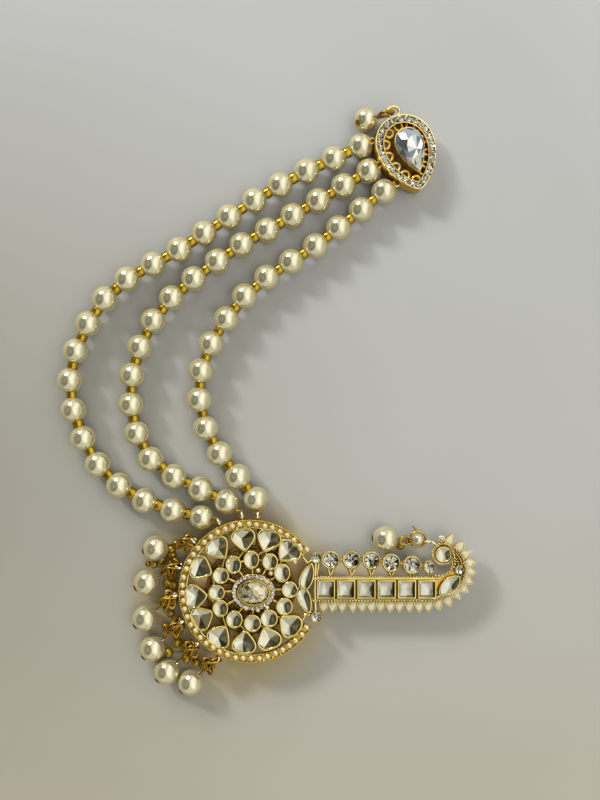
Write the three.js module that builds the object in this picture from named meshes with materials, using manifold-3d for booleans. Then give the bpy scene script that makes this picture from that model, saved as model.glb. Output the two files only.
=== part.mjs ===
// A turban brooch lying face up on a flat surface: a pierced medallion with a curled plume arm,
// a fringe of pearl drops, three strings of pearls and a pear-shaped end brooch.
// Millimetres, +Z up, the surface under it at z = 0. Places are measured from the medallion's centre,
// and the whole assembly is then centred on its own outline.
import * as THREE from "three";
import { mergeVertices } from "three/addons/utils/BufferGeometryUtils.js";
import { ConvexGeometry } from "three/addons/geometries/ConvexGeometry.js";
import Module from "manifold-3d";

const wasm = await Module();
wasm.setup();

// Driving dimensions of the pearls and wires
const pearl = { radius: 4, sides: 10, rings: 5 };
const stringShoulder = 50;
const spacerRadius = 1.25;
const loop = { radius: 1.1, wire: 0.38, height: 6.8 };
const jumpRing = { radius: 1.6, wire: 0.32 };
const eye = { radius: 1, wire: 0.26 };
const headPin = { radius: 0.4, discRadius: 1.1, discThickness: 0.4 };
const tubeSides = 5;
const loopSegments = 8;
const ringSegments = 10;

// Driving dimensions of the medallion
const plate = { bottom: 6, seat: 7, top: 8 };
const wallThickness = 0.5;
const stoneGap = 0.2;
const rim = { inner: 19.9, ledge: 21.9, outer: 22.7, ledgeHeight: 7.2, top: 8.2, segments: 36 };
const tieRing = { inner: 12.6, outer: 13.6, top: 6.8, segments: 20 };
const petal = { length: 6.2, width: 6.8, taper: 0.75, corners: 8 };
const sideLeaf = { length: 7, width: 3.4, taper: 0.5, corners: 8 };
const innerStone = { collar: 2.6, reach: { x: 11.5, y: 10.1 } };
const oval = { width: 8.8, depth: 6.4, seat: 7.6, top: 8.8, corners: 12, centre: { x: 1.1, y: -0.3 } };
const halo = { width: 13.4, depth: 11, top: 7.8, corners: 16 };
const haloTie = { width: 0.9, top: 6.8 };

// Driving dimensions of the arm
const arm = { start: 19, bottom: -3.45, top: 4 };
const curl = { x: 59.5, y: 5.95, radius: 9.4, endAngle: 86 };
const squareStone = { size: 5, pitch: 6.4, count: 6, first: { x: 23.9, y: 0.6 } };
const marquise = { x: 63.2, y: 1.1, length: 8, width: 3.8, turn: 43, corners: 10 };
const tipStone = { x: 61, y: 12, radius: 2.15, collar: 3.2, sides: 12 };
const leaf = { width: 2.7, length: 3.3, bottom: 6.2, top: 7.2, straightPitch: 3.02, curlStep: 15.6 };
const leafCount = { straight: 12, curl: 10 };
const rhinestone = { bottom: 6, girdle: 8.1, top: 9, tableShare: 0.5, sides: 8 };
const tieBar = { width: 0.9, bottom: 6.3, top: 7.3 };

// Driving dimensions of the end brooch, in its own frame with the pear's tip at -Y
const endBrooch = { x: 49.35, y: 138.5, z: 0.15, turn: 15.5, tilt: 10 };
const endFrame = { length: 24.6, width: 18.6, taper: 0.5, corners: 24, band: 2.6, bottom: 1.5, top: 7 };
const endSeat = { bottom: 4.2, floor: 7, top: 8 };
const pearStone = { length: 13, width: 9.4, taper: 0.7, corners: 12, offset: { x: 0.9, y: 0.3 } };
const haloStone = { count: 24, radius: 1.05, top: 7.8, tableShare: 0.55, sides: 8 };
const endLattice = { count: 9, width: 0.9, bottom: 4.6, top: 5.8 };
const hangLoop = { radius: 1.85, wire: 0.5, y: 13.7, z: 6.2 };
const hangRing = { radius: 2.4, wire: 0.42 };

// The plain pins on the two backs
const medallionPin = { length: 28, width: 3.6, barTop: 5.7, barBottom: 4.7, lugLength: 4, wire: 1 };
const endPin = { length: 15, width: 3, barTop: 3.9, barBottom: 3.1, lugLength: 2.6, wire: 0.9, bottom: 0.5 };

// Each string of pearls: its pearl count, the places it passes through and the loops at its two ends
const strings = [
  {
    name: "outer_string",
    pearls: 21,
    medallionLoop: 114.2,
    endLoop: 236,
    route: [
      { x: 34.7, y: 142.5 },
      { x: 10.7, y: 129.8 },
      { x: -22, y: 109 },
      { x: -46, y: 93.4 },
      { x: -57.8, y: 67.1 },
      { x: -49.2, y: 40.2 },
      { x: -33.8, y: 28.1 },
      { x: -15.6, y: 22.9 },
    ],
  },
  {
    name: "middle_string",
    pearls: 18,
    medallionLoop: 96,
    endLoop: 273,
    route: [
      { x: 37.2, y: 134 },
      { x: 14.5, y: 119.9 },
      { x: -9.2, y: 105.8 },
      { x: -30.3, y: 87 },
      { x: -38.4, y: 64 },
      { x: -32.5, y: 42.2 },
      { x: -7.6, y: 27.8 },
    ],
  },
  {
    name: "inner_string",
    pearls: 15,
    medallionLoop: 84,
    endLoop: 308,
    route: [
      { x: 42.6, y: 127.1 },
      { x: 21.2, y: 110 },
      { x: -1.8, y: 93.7 },
      { x: -15.9, y: 69.7 },
      { x: -14, y: 50.5 },
      { x: 1.7, y: 28.7 },
    ],
  },
];

// The fringe: the angle of each loop round the rim and where its pearl lies
const fringe = [
  { angle: 138.1, x: -30.3, y: 13 },
  { angle: 160.8, x: -33.2, y: 2.1 },
  { angle: 183.1, x: -33.7, y: -9.4 },
  { angle: 204, x: -31.3, y: -19 },
  { angle: 224.9, x: -26.8, y: -26.4 },
  { angle: 244.1, x: -19.2, y: -30 },
];

// The round stones along the arm's upper edge, from the medallion outwards
const upperRow = [
  { x: 21, y: 10.6, collar: 1.75 },
  { x: 25.4, y: 9.95, collar: 2.65 },
  { x: 32.1, y: 9.95, collar: 2.65 },
  { x: 38.3, y: 9.8, collar: 2.65 },
  { x: 44.6, y: 9, collar: 2.65 },
  { x: 51.1, y: 8.4, collar: 2.65 },
  { x: 56.6, y: 7.75, collar: 1.9 },
];
const loneStones = [
  { x: 20.9, y: -8.1, collar: 1.75 },
  { x: 66, y: 6.5, collar: 1.2 },
];

// The two leaf-shaped stones beside the arm
const sideLeaves = [
  { name: "upper_leaf_stone", x: 18, y: 4.7, turn: 155 },
  { name: "lower_leaf_stone", x: 17.1, y: -2.7, turn: 24 },
];
// The outer ring of stones, each at its own reach
const petals = [
  { angle: 97.6, reach: 16.4 },
  { angle: 70.3, reach: 16.9 },
  { angle: 46.1, reach: 17.2 },
  { angle: -40.5, reach: 16.2 },
  { angle: -68.7, reach: 15.8 },
  { angle: -96.7, reach: 16.1 },
  { angle: -124.3, reach: 17.1 },
  { angle: -151.2, reach: 17.2 },
  { angle: -174.5, reach: 17.2 },
  { angle: 155.2, reach: 17 },
  { angle: 126.8, reach: 16.8 },
];
const innerStoneCount = 12;

// The pearl that hangs from the arm's tip
const tipDrop = { loop: { x: 56.3, y: 15.5, z: 6.2 }, ring: { radius: 2.5, wire: 0.35 }, pearl: { x: 43, y: 16.1 } };
const endDropPearl = { x: 36.2, y: 150.6 };

const gold = new THREE.MeshStandardMaterial({ color: 0xd9b45a, roughness: 0.25, metalness: 1 });
const nacre = new THREE.MeshStandardMaterial({ color: 0xefe8cf, roughness: 0.22, metalness: 0 });
const crystal = new THREE.MeshStandardMaterial({ color: 0xdde2dc, roughness: 0.05, metalness: 0.3 });

const zAxis = new THREE.Vector3(0, 0, 1);
const yAxis = new THREE.Vector3(0, 1, 0);
const { degToRad } = THREE.MathUtils;

// Solids

function toSolid(geometry) {
  const bare = geometry.clone();
  bare.deleteAttribute("normal");
  bare.deleteAttribute("uv");
  const merged = mergeVertices(bare, 1e-4);
  const corners = merged.index.array;
  const triangles = [];
  for (let i = 0; i < corners.length; i += 3) {
    const [a, b, c] = corners.slice(i, i + 3);
    if (a !== b && b !== c && c !== a) triangles.push(a, b, c);
  }
  const mesh = new wasm.Mesh({
    numProp: 3,
    vertProperties: merged.attributes.position.array,
    triVerts: new Uint32Array(triangles),
  });
  return new wasm.Manifold(mesh);
}

function toGeometry(solid) {
  const mesh = solid.simplify(0.01).getMesh();
  const geometry = new THREE.BufferGeometry();
  geometry.setAttribute("position", new THREE.BufferAttribute(mesh.vertProperties, 3));
  geometry.setIndex(new THREE.BufferAttribute(mesh.triVerts, 1));
  return geometry;
}

function joinAll(geometries) {
  return toGeometry(geometries.map(toSolid).reduce((whole, next) => whole.add(next)));
}

function cutFrom(geometry, cutters) {
  return toGeometry(cutters.map(toSolid).reduce((whole, next) => whole.subtract(next), toSolid(geometry)));
}

function polar(radius, angle) {
  return new THREE.Vector2(radius * Math.cos(degToRad(angle)), radius * Math.sin(degToRad(angle)));
}

function placed(geometry, { x = 0, y = 0, z = 0, turn = 0 }) {
  return geometry.rotateZ(degToRad(turn)).translate(x, y, z);
}

// Outlines, each a list of points that runs anticlockwise

function stepsRound(count) {
  return [...Array(count).keys()].map((i) => (2 * Math.PI * i) / count);
}

function pearPoint({ length, width, taper, corners }, t, grow = 0) {
  const swell = (at) => Math.sin(at) * Math.sin(at / 2) ** taper;
  const halfWidth = (width / 2 + grow) / Math.max(...stepsRound(corners).map(swell));
  return new THREE.Vector2(halfWidth * swell(t), -(length / 2 + grow) * Math.cos(t));
}

function pearOutline(size, grow = 0) {
  return stepsRound(size.corners).map((t) => pearPoint(size, t, grow));
}

function ovalOutline({ width, depth, corners }, grow = 0) {
  const at = (t) => new THREE.Vector2((width / 2 + grow) * Math.cos(t), (depth / 2 + grow) * Math.sin(t));
  return stepsRound(corners).map(at);
}

function marquiseOutline({ length, width, corners }, grow = 0) {
  const bow = (t) => Math.sign(Math.sin(t)) * Math.abs(Math.sin(t)) ** 1.5;
  const at = (t) => new THREE.Vector2((length / 2 + grow) * Math.cos(t), (width / 2 + grow) * bow(t));
  return stepsRound(corners).map(at);
}

function squareOutline(size) {
  const half = size / 2;
  return [[-1, -1], [1, -1], [1, 1], [-1, 1]].map(([x, y]) => new THREE.Vector2(x * half, y * half));
}

function moved(outline, { x, y, turn = 0 }) {
  const origin = new THREE.Vector2();
  return outline.map((p) => p.clone().rotateAround(origin, degToRad(turn)).add(new THREE.Vector2(x, y)));
}

// Basic forms

function prism(outline, bottom, top, holes = []) {
  const shape = outline instanceof THREE.Shape ? outline : new THREE.Shape(outline);
  shape.holes = holes.map((hole) => new THREE.Path(hole));
  return new THREE.ExtrudeGeometry(shape, { depth: top - bottom, bevelEnabled: false, curveSegments: 10 })
    .translate(0, 0, bottom);
}

function cutStone(outline, { bottom, girdle = 0.8, height = 2, tableShare = 0.55 }) {
  const layer = (z, share) => outline.map((p) => new THREE.Vector3(p.x * share, p.y * share, z));
  const low = bottom;
  return new ConvexGeometry([...layer(low, 1), ...layer(low + girdle, 1), ...layer(low + height, tableShare)]);
}

function turned(profile, sides) {
  const points = profile.map(([r, z]) => new THREE.Vector2(r, z));
  return new THREE.LatheGeometry(points, sides).rotateX(Math.PI / 2);
}

function collarAndStone({ collar }, { bottom, girdle, top, tableShare, sides }) {
  return turned([[0, bottom], [collar, bottom], [collar, girdle], [collar * tableShare, top], [0, top]], sides);
}

function bar(from, to, { width, bottom, top }) {
  const span = new THREE.Vector2().subVectors(to, from);
  return new THREE.BoxGeometry(span.length(), width, top - bottom)
    .rotateZ(span.angle())
    .translate((from.x + to.x) / 2, (from.y + to.y) / 2, (bottom + top) / 2);
}

function rod(from, to, radius) {
  const span = new THREE.Vector3().subVectors(to, from);
  const facing = new THREE.Quaternion().setFromUnitVectors(yAxis, span.clone().normalize());
  return new THREE.CylinderGeometry(radius, radius, span.length(), tubeSides)
    .applyQuaternion(facing)
    .translate((from.x + to.x) / 2, (from.y + to.y) / 2, (from.z + to.z) / 2);
}

function wireRing({ radius, wire }, centre, axis, segments = loopSegments) {
  const facing = new THREE.Quaternion().setFromUnitVectors(zAxis, axis.clone().normalize());
  return new THREE.TorusGeometry(radius, wire, tubeSides, segments)
    .applyQuaternion(facing)
    .translate(centre.x, centre.y, centre.z);
}

function ball({ radius, rings, sides }, centre) {
  const angles = [...Array(rings).keys()].map((i) => (Math.PI * (i + 1)) / (rings + 1));
  const profile = angles.map((t) => [radius * Math.sin(t), -radius * Math.cos(t)]);
  return turned([[0, -radius], ...profile, [0, radius]], sides).translate(centre.x, centre.y, centre.z);
}

function level(from, to) {
  return new THREE.Vector3(to.x - from.x, to.y - from.y, 0).normalize();
}

function across(direction) {
  return new THREE.Vector3(-direction.y, direction.x, 0);
}

// The stones' seats: a solid foot with a wall round a pocket that holds one stone with a small gap

function seatBody({ outlineOf, size, place, heights }) {
  return prism(moved(outlineOf(size, stoneGap + wallThickness), place), heights.bottom, heights.top);
}

function seatPocket({ outlineOf, size, place, heights }) {
  return prism(moved(outlineOf(size, stoneGap), place), heights.floor, heights.top + 1);
}

const medallionSeat = { bottom: plate.bottom, floor: plate.seat, top: plate.top };
const petalPlaces = petals.map(({ angle, reach }) => {
  const centre = polar(reach, angle);
  return { x: centre.x, y: centre.y, turn: angle - 90 };
});
const ovalHeights = { bottom: plate.bottom, floor: oval.seat, top: oval.top };
const tipSize = { width: 2 * tipStone.radius, depth: 2 * tipStone.radius, corners: tipStone.sides };
const settingSeats = [
  ...petalPlaces.map((place) => ({ outlineOf: pearOutline, size: petal, place, heights: medallionSeat })),
  ...sideLeaves.map((place) => ({ outlineOf: pearOutline, size: sideLeaf, place, heights: medallionSeat })),
  { outlineOf: ovalOutline, size: oval, place: oval.centre, heights: ovalHeights },
  { outlineOf: ovalOutline, size: tipSize, place: tipStone, heights: medallionSeat },
  { outlineOf: marquiseOutline, size: marquise, place: marquise, heights: medallionSeat },
];

function rimLoop(angle) {
  const centre = polar(rim.outer + loop.radius + 0.1, angle);
  return new THREE.Vector3(centre.x, centre.y, loop.height);
}

function medallionBody() {
  const rimProfile = [
    [rim.inner, plate.bottom], [rim.outer, plate.bottom], [rim.outer, rim.top], [rim.ledge, rim.top],
    [rim.ledge, rim.ledgeHeight], [rim.inner, rim.ledgeHeight], [rim.inner, plate.bottom],
  ];
  const tieProfile = [
    [tieRing.inner, plate.bottom], [tieRing.outer, plate.bottom], [tieRing.outer, tieRing.top],
    [tieRing.inner, tieRing.top], [tieRing.inner, plate.bottom],
  ];
  const innerAngles = [...Array(innerStoneCount).keys()].map((i) => (360 * i) / innerStoneCount + 2);
  const innerPlaces = innerAngles.map((angle) => ({
    x: oval.centre.x + innerStone.reach.x * Math.cos(degToRad(angle)),
    y: innerStone.reach.y * Math.sin(degToRad(angle)),
  }));
  const haloOutline = moved(ovalOutline(halo), oval.centre);
  return [
    turned(rimProfile, rim.segments),
    turned(tieProfile, tieRing.segments),
    ...innerPlaces.map((place) => placed(collarAndStone(innerStone, rhinestone), place)),
    ...innerPlaces.map((place) => bar(oval.centre, place, { ...haloTie, bottom: plate.bottom })),
    prism(haloOutline, plate.bottom, halo.top),
  ];
}

// The plume arm

const squarePlaces = [...Array(squareStone.count).keys()].map((i) => ({
  x: squareStone.first.x + i * squareStone.pitch,
  y: squareStone.first.y,
}));

function armOutline() {
  const shape = new THREE.Shape();
  shape.moveTo(arm.start, arm.bottom);
  shape.lineTo(curl.x, arm.bottom);
  shape.absarc(curl.x, curl.y, curl.radius, -Math.PI / 2, degToRad(curl.endAngle), false);
  shape.lineTo(tipStone.x, tipStone.y);
  shape.quadraticCurveTo(curl.x + 5, arm.top + 0.8, curl.x - 1, arm.top);
  shape.lineTo(arm.start, arm.top);
  return shape;
}

function leafPoint(place) {
  const half = leaf.width / 2;
  const outline = [[-half, 0.4], [0, -leaf.length], [half, 0.4]];
  return prism(moved(outline.map(([x, y]) => new THREE.Vector2(x, y)), place), leaf.bottom, leaf.top);
}

function leafPoints() {
  const straight = [...Array(leafCount.straight).keys()].map((i) => ({
    x: squareStone.first.x - 0.6 + i * leaf.straightPitch,
    y: arm.bottom,
  }));
  const round = [...Array(leafCount.curl).keys()].map((i) => {
    const turn = leaf.curlStep * (i + 0.35);
    const foot = polar(curl.radius, turn - 90);
    return { x: curl.x + foot.x, y: curl.y + foot.y, turn };
  });
  return [...straight, ...round].map(leafPoint);
}

function armBody() {
  const stems = upperRow.map((stone) => bar(stone, { x: stone.x, y: arm.top - 0.5 }, tieBar));
  const rimFoot = bar({ x: arm.start - 1, y: loneStones[0].y + 2 }, loneStones[0], tieBar);
  const tipStem = bar({ x: tipDrop.loop.x + loop.radius, y: tipDrop.loop.y }, { x: tipStone.x - 1.4, y: tipStone.y + 1.6 }, tieBar);
  return [
    prism(armOutline(), plate.bottom, plate.top),
    ...[...upperRow, ...loneStones].map((stone) => placed(collarAndStone(stone, rhinestone), stone)),
    ...stems,
    rimFoot,
    tipStem,
    ...leafPoints(),
    wireRing(loop, tipDrop.loop, yAxis),
  ];
}

function settingBody() {
  const loopAngles = [...strings.map((row) => row.medallionLoop), ...fringe.map((row) => row.angle)];
  const loops = loopAngles.map((angle) => wireRing(loop, rimLoop(angle), zAxis));
  const whole = joinAll([...settingSeats.map(seatBody), ...medallionBody(), ...armBody(), ...loops]);
  const squarePockets = squarePlaces.map((place) =>
    prism(moved(squareOutline(squareStone.size + 2 * stoneGap), place), plate.seat, plate.top + 1));
  return cutFrom(whole, [...settingSeats.map(seatPocket), ...squarePockets]);
}

// The strings: a straight turned bead profile that is bent along its route

function bentAlong(geometry, curve) {
  const length = curve.getLength();
  const position = geometry.attributes.position;
  for (let i = 0; i < position.count; i++) {
    const along = position.getZ(i);
    const share = THREE.MathUtils.clamp(along / length, 0, 1);
    const tangent = curve.getTangentAt(share).setZ(0).normalize();
    const side = new THREE.Vector3(tangent.y, -tangent.x, 0);
    const point = curve.getPointAt(share)
      .addScaledVector(tangent, along - share * length)
      .addScaledVector(side, position.getX(i))
      .addScaledVector(zAxis, -position.getY(i));
    position.setXYZ(i, point.x, point.y, point.z);
  }
  return geometry;
}

function stringCurve({ route }) {
  const points = route.map((p) => new THREE.Vector3(p.x, p.y, pearl.radius));
  const curve = new THREE.CatmullRomCurve3(points, false, "centripetal");
  curve.arcLengthDivisions = 800;
  return curve;
}

function stringProfile({ pearls }, length) {
  const pitch = length / (pearls - 1);
  const tail = pearl.radius;
  const ringAngles = [stringShoulder, 90, 180 - stringShoulder].map(degToRad);
  const beads = [...Array(pearls).keys()].flatMap((k) => [
    [spacerRadius, k === 0 ? -tail : (k - 0.5) * pitch],
    ...ringAngles.map((t) => [pearl.radius * Math.sin(t), k * pitch - pearl.radius * Math.cos(t)]),
  ]);
  return [[0, -tail], ...beads, [spacerRadius, length + tail], [0, length + tail]];
}

function threadEnd(centre, loopCentre) {
  const heading = level(centre, loopCentre);
  const eyeCentre = loopCentre.clone().addScaledVector(heading, -eye.radius);
  const eyeBack = eyeCentre.clone().addScaledVector(heading, -eye.radius);
  return [wireRing(eye, eyeCentre, across(heading)), rod(centre, eyeBack, eye.wire + 0.1)];
}

function pearlString(row, endLoopCentre) {
  const curve = stringCurve(row);
  const beads = bentAlong(turned(stringProfile(row, curve.getLength()), pearl.sides), curve);
  const ends = [
    ...threadEnd(curve.getPointAt(0), endLoopCentre),
    ...threadEnd(curve.getPointAt(1), rimLoop(row.medallionLoop)),
  ];
  return joinAll([beads, ...ends]);
}

// A hanging pearl: its jump ring through the loop, and an eye pin with the pearl

function hungRing(loopCentre, heading, ring) {
  const centre = loopCentre.clone().addScaledVector(heading, ring.radius);
  return wireRing(ring, centre, across(heading), ringSegments);
}

function pearlDrop(eyeCentre, pearlCentre, heading, eyeAxis) {
  const eyeBack = eyeCentre.clone().addScaledVector(heading, eye.radius);
  const lie = new THREE.Vector3().subVectors(pearlCentre, eyeBack).normalize();
  const discStart = pearlCentre.clone().addScaledVector(lie, pearl.radius - 0.4);
  const discEnd = pearlCentre.clone().addScaledVector(lie, pearl.radius + 0.1 + headPin.discThickness);
  return joinAll([
    wireRing(eye, eyeCentre, eyeAxis),
    rod(eyeBack, pearlCentre, headPin.radius),
    ball(pearl, pearlCentre),
    rod(discStart, discEnd, headPin.discRadius),
  ]);
}

// The end brooch, in its own frame

const endLoops = strings.map((row) => {
  const point = pearPoint(endFrame, degToRad(row.endLoop), loop.radius - 0.25);
  return new THREE.Vector3(point.x, point.y, endFrame.top - 1.6);
});

function endBody() {
  const outer = pearOutline(endFrame);
  const inner = pearOutline(endFrame, -endFrame.band);
  const middle = new THREE.CatmullRomCurve3(
    pearOutline({ ...endFrame, corners: haloStone.count }, -endFrame.band / 2).map((p) => new THREE.Vector3(p.x, p.y, 0)),
    true,
  );
  const stonePlaces = [...Array(haloStone.count).keys()].map((i) => middle.getPointAt(i / haloStone.count));
  const foot = endFrame.top - 0.3;
  const frustum = [[0, foot], [haloStone.radius, foot], [haloStone.radius * haloStone.tableShare, haloStone.top], [0, haloStone.top]];
  const spokes = [...Array(endLattice.count).keys()].map((i) =>
    bar(pearStone.offset, middle.getPointAt((i + 0.5) / endLattice.count), endLattice));
  const pearSeat = { outlineOf: pearOutline, size: pearStone, place: pearStone.offset, heights: endSeat };
  const whole = joinAll([
    prism(outer, endFrame.bottom, endFrame.top, [inner]),
    ...stonePlaces.map((p) => turned(frustum, haloStone.sides).translate(p.x, p.y, 0)),
    ...spokes,
    seatBody(pearSeat),
    wireRing(hangLoop, new THREE.Vector3(0, hangLoop.y, hangLoop.z), zAxis, ringSegments),
    ...endLoops.map((centre) => wireRing(loop, centre, zAxis)),
  ]);
  return cutFrom(whole, [seatPocket(pearSeat)]);
}

function pinBody({ length, width, barTop, barBottom, lugLength, wire }, bottom = 0) {
  const half = length / 2;
  const lug = (x) => new THREE.BoxGeometry(lugLength, width, barTop - bottom).translate(x, 0, (barTop + bottom) / 2);
  const wireHeight = bottom + 1 + wire / 2;
  return joinAll([
    new THREE.BoxGeometry(length, width, barTop - barBottom).translate(0, 0, (barTop + barBottom) / 2),
    lug(-half + lugLength / 2),
    lug(half - lugLength / 2),
    new THREE.BoxGeometry(length - lugLength, wire, wire).translate(0, 0, wireHeight),
  ]);
}

// The assembly

function node(name, geometry, material) {
  const mesh = new THREE.Mesh(geometry, material);
  mesh.name = name;
  return mesh;
}

const brooch = new THREE.Group();
brooch.name = "turban_brooch";
brooch.add(node("setting", settingBody(), gold));
brooch.add(node("medallion_pin", pinBody(medallionPin), gold));

// Stones of the medallion and the arm
const stoneBottom = plate.seat + stoneGap;
petalPlaces.forEach((place, i) => {
  const stone = placed(cutStone(pearOutline(petal), { bottom: stoneBottom }), place);
  brooch.add(node("petal_stone_" + (i + 1), stone, crystal));
});
sideLeaves.forEach((place) => {
  brooch.add(node(place.name, placed(cutStone(pearOutline(sideLeaf), { bottom: stoneBottom }), place), crystal));
});
const ovalCut = { bottom: oval.seat + stoneGap, girdle: 1, height: 3, tableShare: 0.5 };
brooch.add(node("oval_stone", placed(cutStone(ovalOutline(oval), ovalCut), oval.centre), crystal));
squarePlaces.forEach((place, i) => {
  const corners = squareOutline(squareStone.size).flatMap((p, k, all) => [p, p.clone().lerp(all[(k + 1) % 4], 0.5)]);
  const stone = placed(cutStone(corners, { bottom: stoneBottom, tableShare: 0.6 }), place);
  brooch.add(node("square_stone_" + (i + 1), stone, crystal));
});
brooch.add(node("marquise_stone", placed(cutStone(marquiseOutline(marquise), { bottom: stoneBottom }), marquise), crystal));
brooch.add(node("tip_stone", placed(cutStone(ovalOutline(tipSize), { bottom: stoneBottom }), tipStone), crystal));

// The fringe
fringe.forEach((row, i) => {
  const loopCentre = rimLoop(row.angle);
  const pearlCentre = new THREE.Vector3(row.x, row.y, pearl.radius);
  const heading = level(loopCentre, pearlCentre);
  const eyeCentre = loopCentre.clone().addScaledVector(heading, 2 * jumpRing.radius);
  brooch.add(node("fringe_ring_" + (i + 1), hungRing(loopCentre, heading, jumpRing), gold));
  brooch.add(node("fringe_drop_" + (i + 1), pearlDrop(eyeCentre, pearlCentre, heading, zAxis), nacre));
});

// The drop at the arm's tip, on a ring that lies flat
const tipLoop = new THREE.Vector3(tipDrop.loop.x, tipDrop.loop.y, tipDrop.loop.z);
const tipPearl = new THREE.Vector3(tipDrop.pearl.x, tipDrop.pearl.y, pearl.radius);
const tipHeading = level(tipLoop, tipPearl);
const tipRingCentre = tipLoop.clone().addScaledVector(tipHeading, tipDrop.ring.radius);
brooch.add(node("tip_ring", wireRing(tipDrop.ring, tipRingCentre, zAxis, ringSegments), gold));
const tipEye = tipLoop.clone().addScaledVector(tipHeading, 2 * tipDrop.ring.radius);
brooch.add(node("tip_drop", pearlDrop(tipEye, tipPearl, tipHeading, across(tipHeading)), nacre));

// The end brooch, turned and leaning on its right edge
const endGroup = new THREE.Group();
endGroup.position.set(endBrooch.x, endBrooch.y, endBrooch.z);
endGroup.rotation.set(0, degToRad(endBrooch.tilt), degToRad(endBrooch.turn), "ZYX");
const pearCut = { bottom: endSeat.floor + stoneGap, girdle: 1.2, height: 4, tableShare: 0.5 };
endGroup.add(node("end_setting", endBody(), gold));
endGroup.add(node("pear_stone", placed(cutStone(pearOutline(pearStone), pearCut), pearStone.offset), crystal));
const endPinMesh = node("end_pin", pinBody(endPin, endPin.bottom).rotateZ(Math.PI / 2), gold);
endPinMesh.position.set(pearStone.offset.x, pearStone.offset.y, 0);
endGroup.add(endPinMesh);
endGroup.updateMatrix();
brooch.add(endGroup);

// The drop at the end brooch's top
const hangCentre = new THREE.Vector3(0, hangLoop.y, hangLoop.z).applyMatrix4(endGroup.matrix);
const endPearl = new THREE.Vector3(endDropPearl.x, endDropPearl.y, pearl.radius);
const hangHeading = level(hangCentre, endPearl);
brooch.add(node("end_ring", hungRing(hangCentre, hangHeading, hangRing), gold));
const hangEye = hangCentre.clone().addScaledVector(hangHeading, 2 * hangRing.radius);
brooch.add(node("end_drop", pearlDrop(hangEye, endPearl, hangHeading, zAxis), nacre));

// The three strings, from the end brooch to the medallion
strings.forEach((row, i) => {
  const endLoopCentre = endLoops[i].clone().applyMatrix4(endGroup.matrix);
  brooch.add(node(row.name, pearlString(row, endLoopCentre), nacre));
});

// The part's origin is the middle of its outline, on the surface that it lies on
const extent = new THREE.Box3().setFromObject(brooch, true);
const middle = extent.getCenter(new THREE.Vector3());
brooch.position.set(-middle.x, -middle.y, -extent.min.z);

export default brooch;
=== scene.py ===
import math
import random

import bpy
import bmesh
from mathutils import Matrix, Vector


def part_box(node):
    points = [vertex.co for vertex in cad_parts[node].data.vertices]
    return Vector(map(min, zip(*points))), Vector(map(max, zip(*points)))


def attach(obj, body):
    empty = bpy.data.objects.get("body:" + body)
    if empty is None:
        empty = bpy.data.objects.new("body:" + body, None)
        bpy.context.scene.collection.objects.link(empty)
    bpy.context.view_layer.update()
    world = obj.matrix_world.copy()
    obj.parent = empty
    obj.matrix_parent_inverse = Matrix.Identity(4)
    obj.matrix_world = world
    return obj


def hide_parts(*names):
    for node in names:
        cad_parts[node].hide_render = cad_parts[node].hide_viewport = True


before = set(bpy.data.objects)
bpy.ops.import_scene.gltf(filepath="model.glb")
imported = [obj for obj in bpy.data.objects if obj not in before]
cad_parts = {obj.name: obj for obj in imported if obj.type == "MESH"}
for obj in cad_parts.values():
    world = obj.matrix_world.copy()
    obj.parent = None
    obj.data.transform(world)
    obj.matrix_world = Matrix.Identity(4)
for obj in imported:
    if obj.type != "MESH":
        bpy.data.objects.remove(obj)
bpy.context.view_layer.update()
random.seed(11)
mm = 0.001
gemThick = 0.6  # what lies below the brim of a small stone

pinLow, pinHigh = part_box("medallion_pin")
home = (pinLow + pinHigh) / 2  # the pin lies under the middle of the medallion
print("frame loaded, medallion at", round(home.x, 4), round(home.y, 4))


# places, in millimetres from the medallion's middle

def at(x, y, z=0.0, turn=0.0, scale=(1, 1, 1)):
    spot = Matrix.Translation((home.x + x * mm, home.y + y * mm, z * mm))
    return spot @ Matrix.Rotation(math.radians(turn), 4, "Z") @ Matrix.Diagonal((*scale, 1))


def spotOf(x, y, z):
    return Vector((home.x + x * mm, home.y + y * mm, z * mm))


def moved(x, y, z):  # a shift for a piece that is modelled round its own middle
    return Matrix.Translation((x * mm, y * mm, z * mm))


def aimed(centre, heading, scale=(1, 1, 1)):  # local Z turned along the heading
    turn = heading.to_track_quat("Z", "Y").to_matrix().to_4x4()
    return Matrix.Translation(centre) @ turn @ Matrix.Diagonal((*scale, 1))


def onCircle(angle, reach, x=0.0, y=0.0):  # angle in degrees
    a = math.radians(angle)
    return x + reach * math.cos(a), y + reach * math.sin(a)


def ringSpot(reach, angle, z):
    return spotOf(*onCircle(angle, reach), z)


def ringPlace(reach, angle, z):  # local Y looks outward
    return at(*onCircle(angle, reach), z, angle - 90)


def levelHeading(start, end):
    return Vector((end.x - start.x, end.y - start.y, 0)).normalized()


def leftOf(heading):
    return Vector((-heading.y, heading.x, 0))


# modelling steps

def pickOnly(piece):
    bpy.ops.object.select_all(action="DESELECT")
    piece.select_set(True)
    bpy.context.view_layer.objects.active = piece


def startFrom(kind, **sizes):
    if bpy.context.object and bpy.context.object.mode == "EDIT":
        bpy.ops.object.mode_set(mode="OBJECT")
    bpy.ops.object.select_all(action="DESELECT")
    getattr(bpy.ops.mesh, "primitive_" + kind + "_add")(**sizes)
    return bpy.context.object


def openFaces(piece, wanted=None):
    bpy.context.view_layer.objects.active = piece
    bpy.ops.object.mode_set(mode="EDIT")
    bpy.ops.mesh.select_mode(type="FACE")
    bpy.ops.mesh.select_all(action="DESELECT")
    live = bmesh.from_edit_mesh(piece.data)
    live.normal_update()
    for face in live.faces:
        face.select_set(wanted is None or wanted(face))
    live.select_flush_mode()
    bmesh.update_edit_mesh(piece.data)


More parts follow.
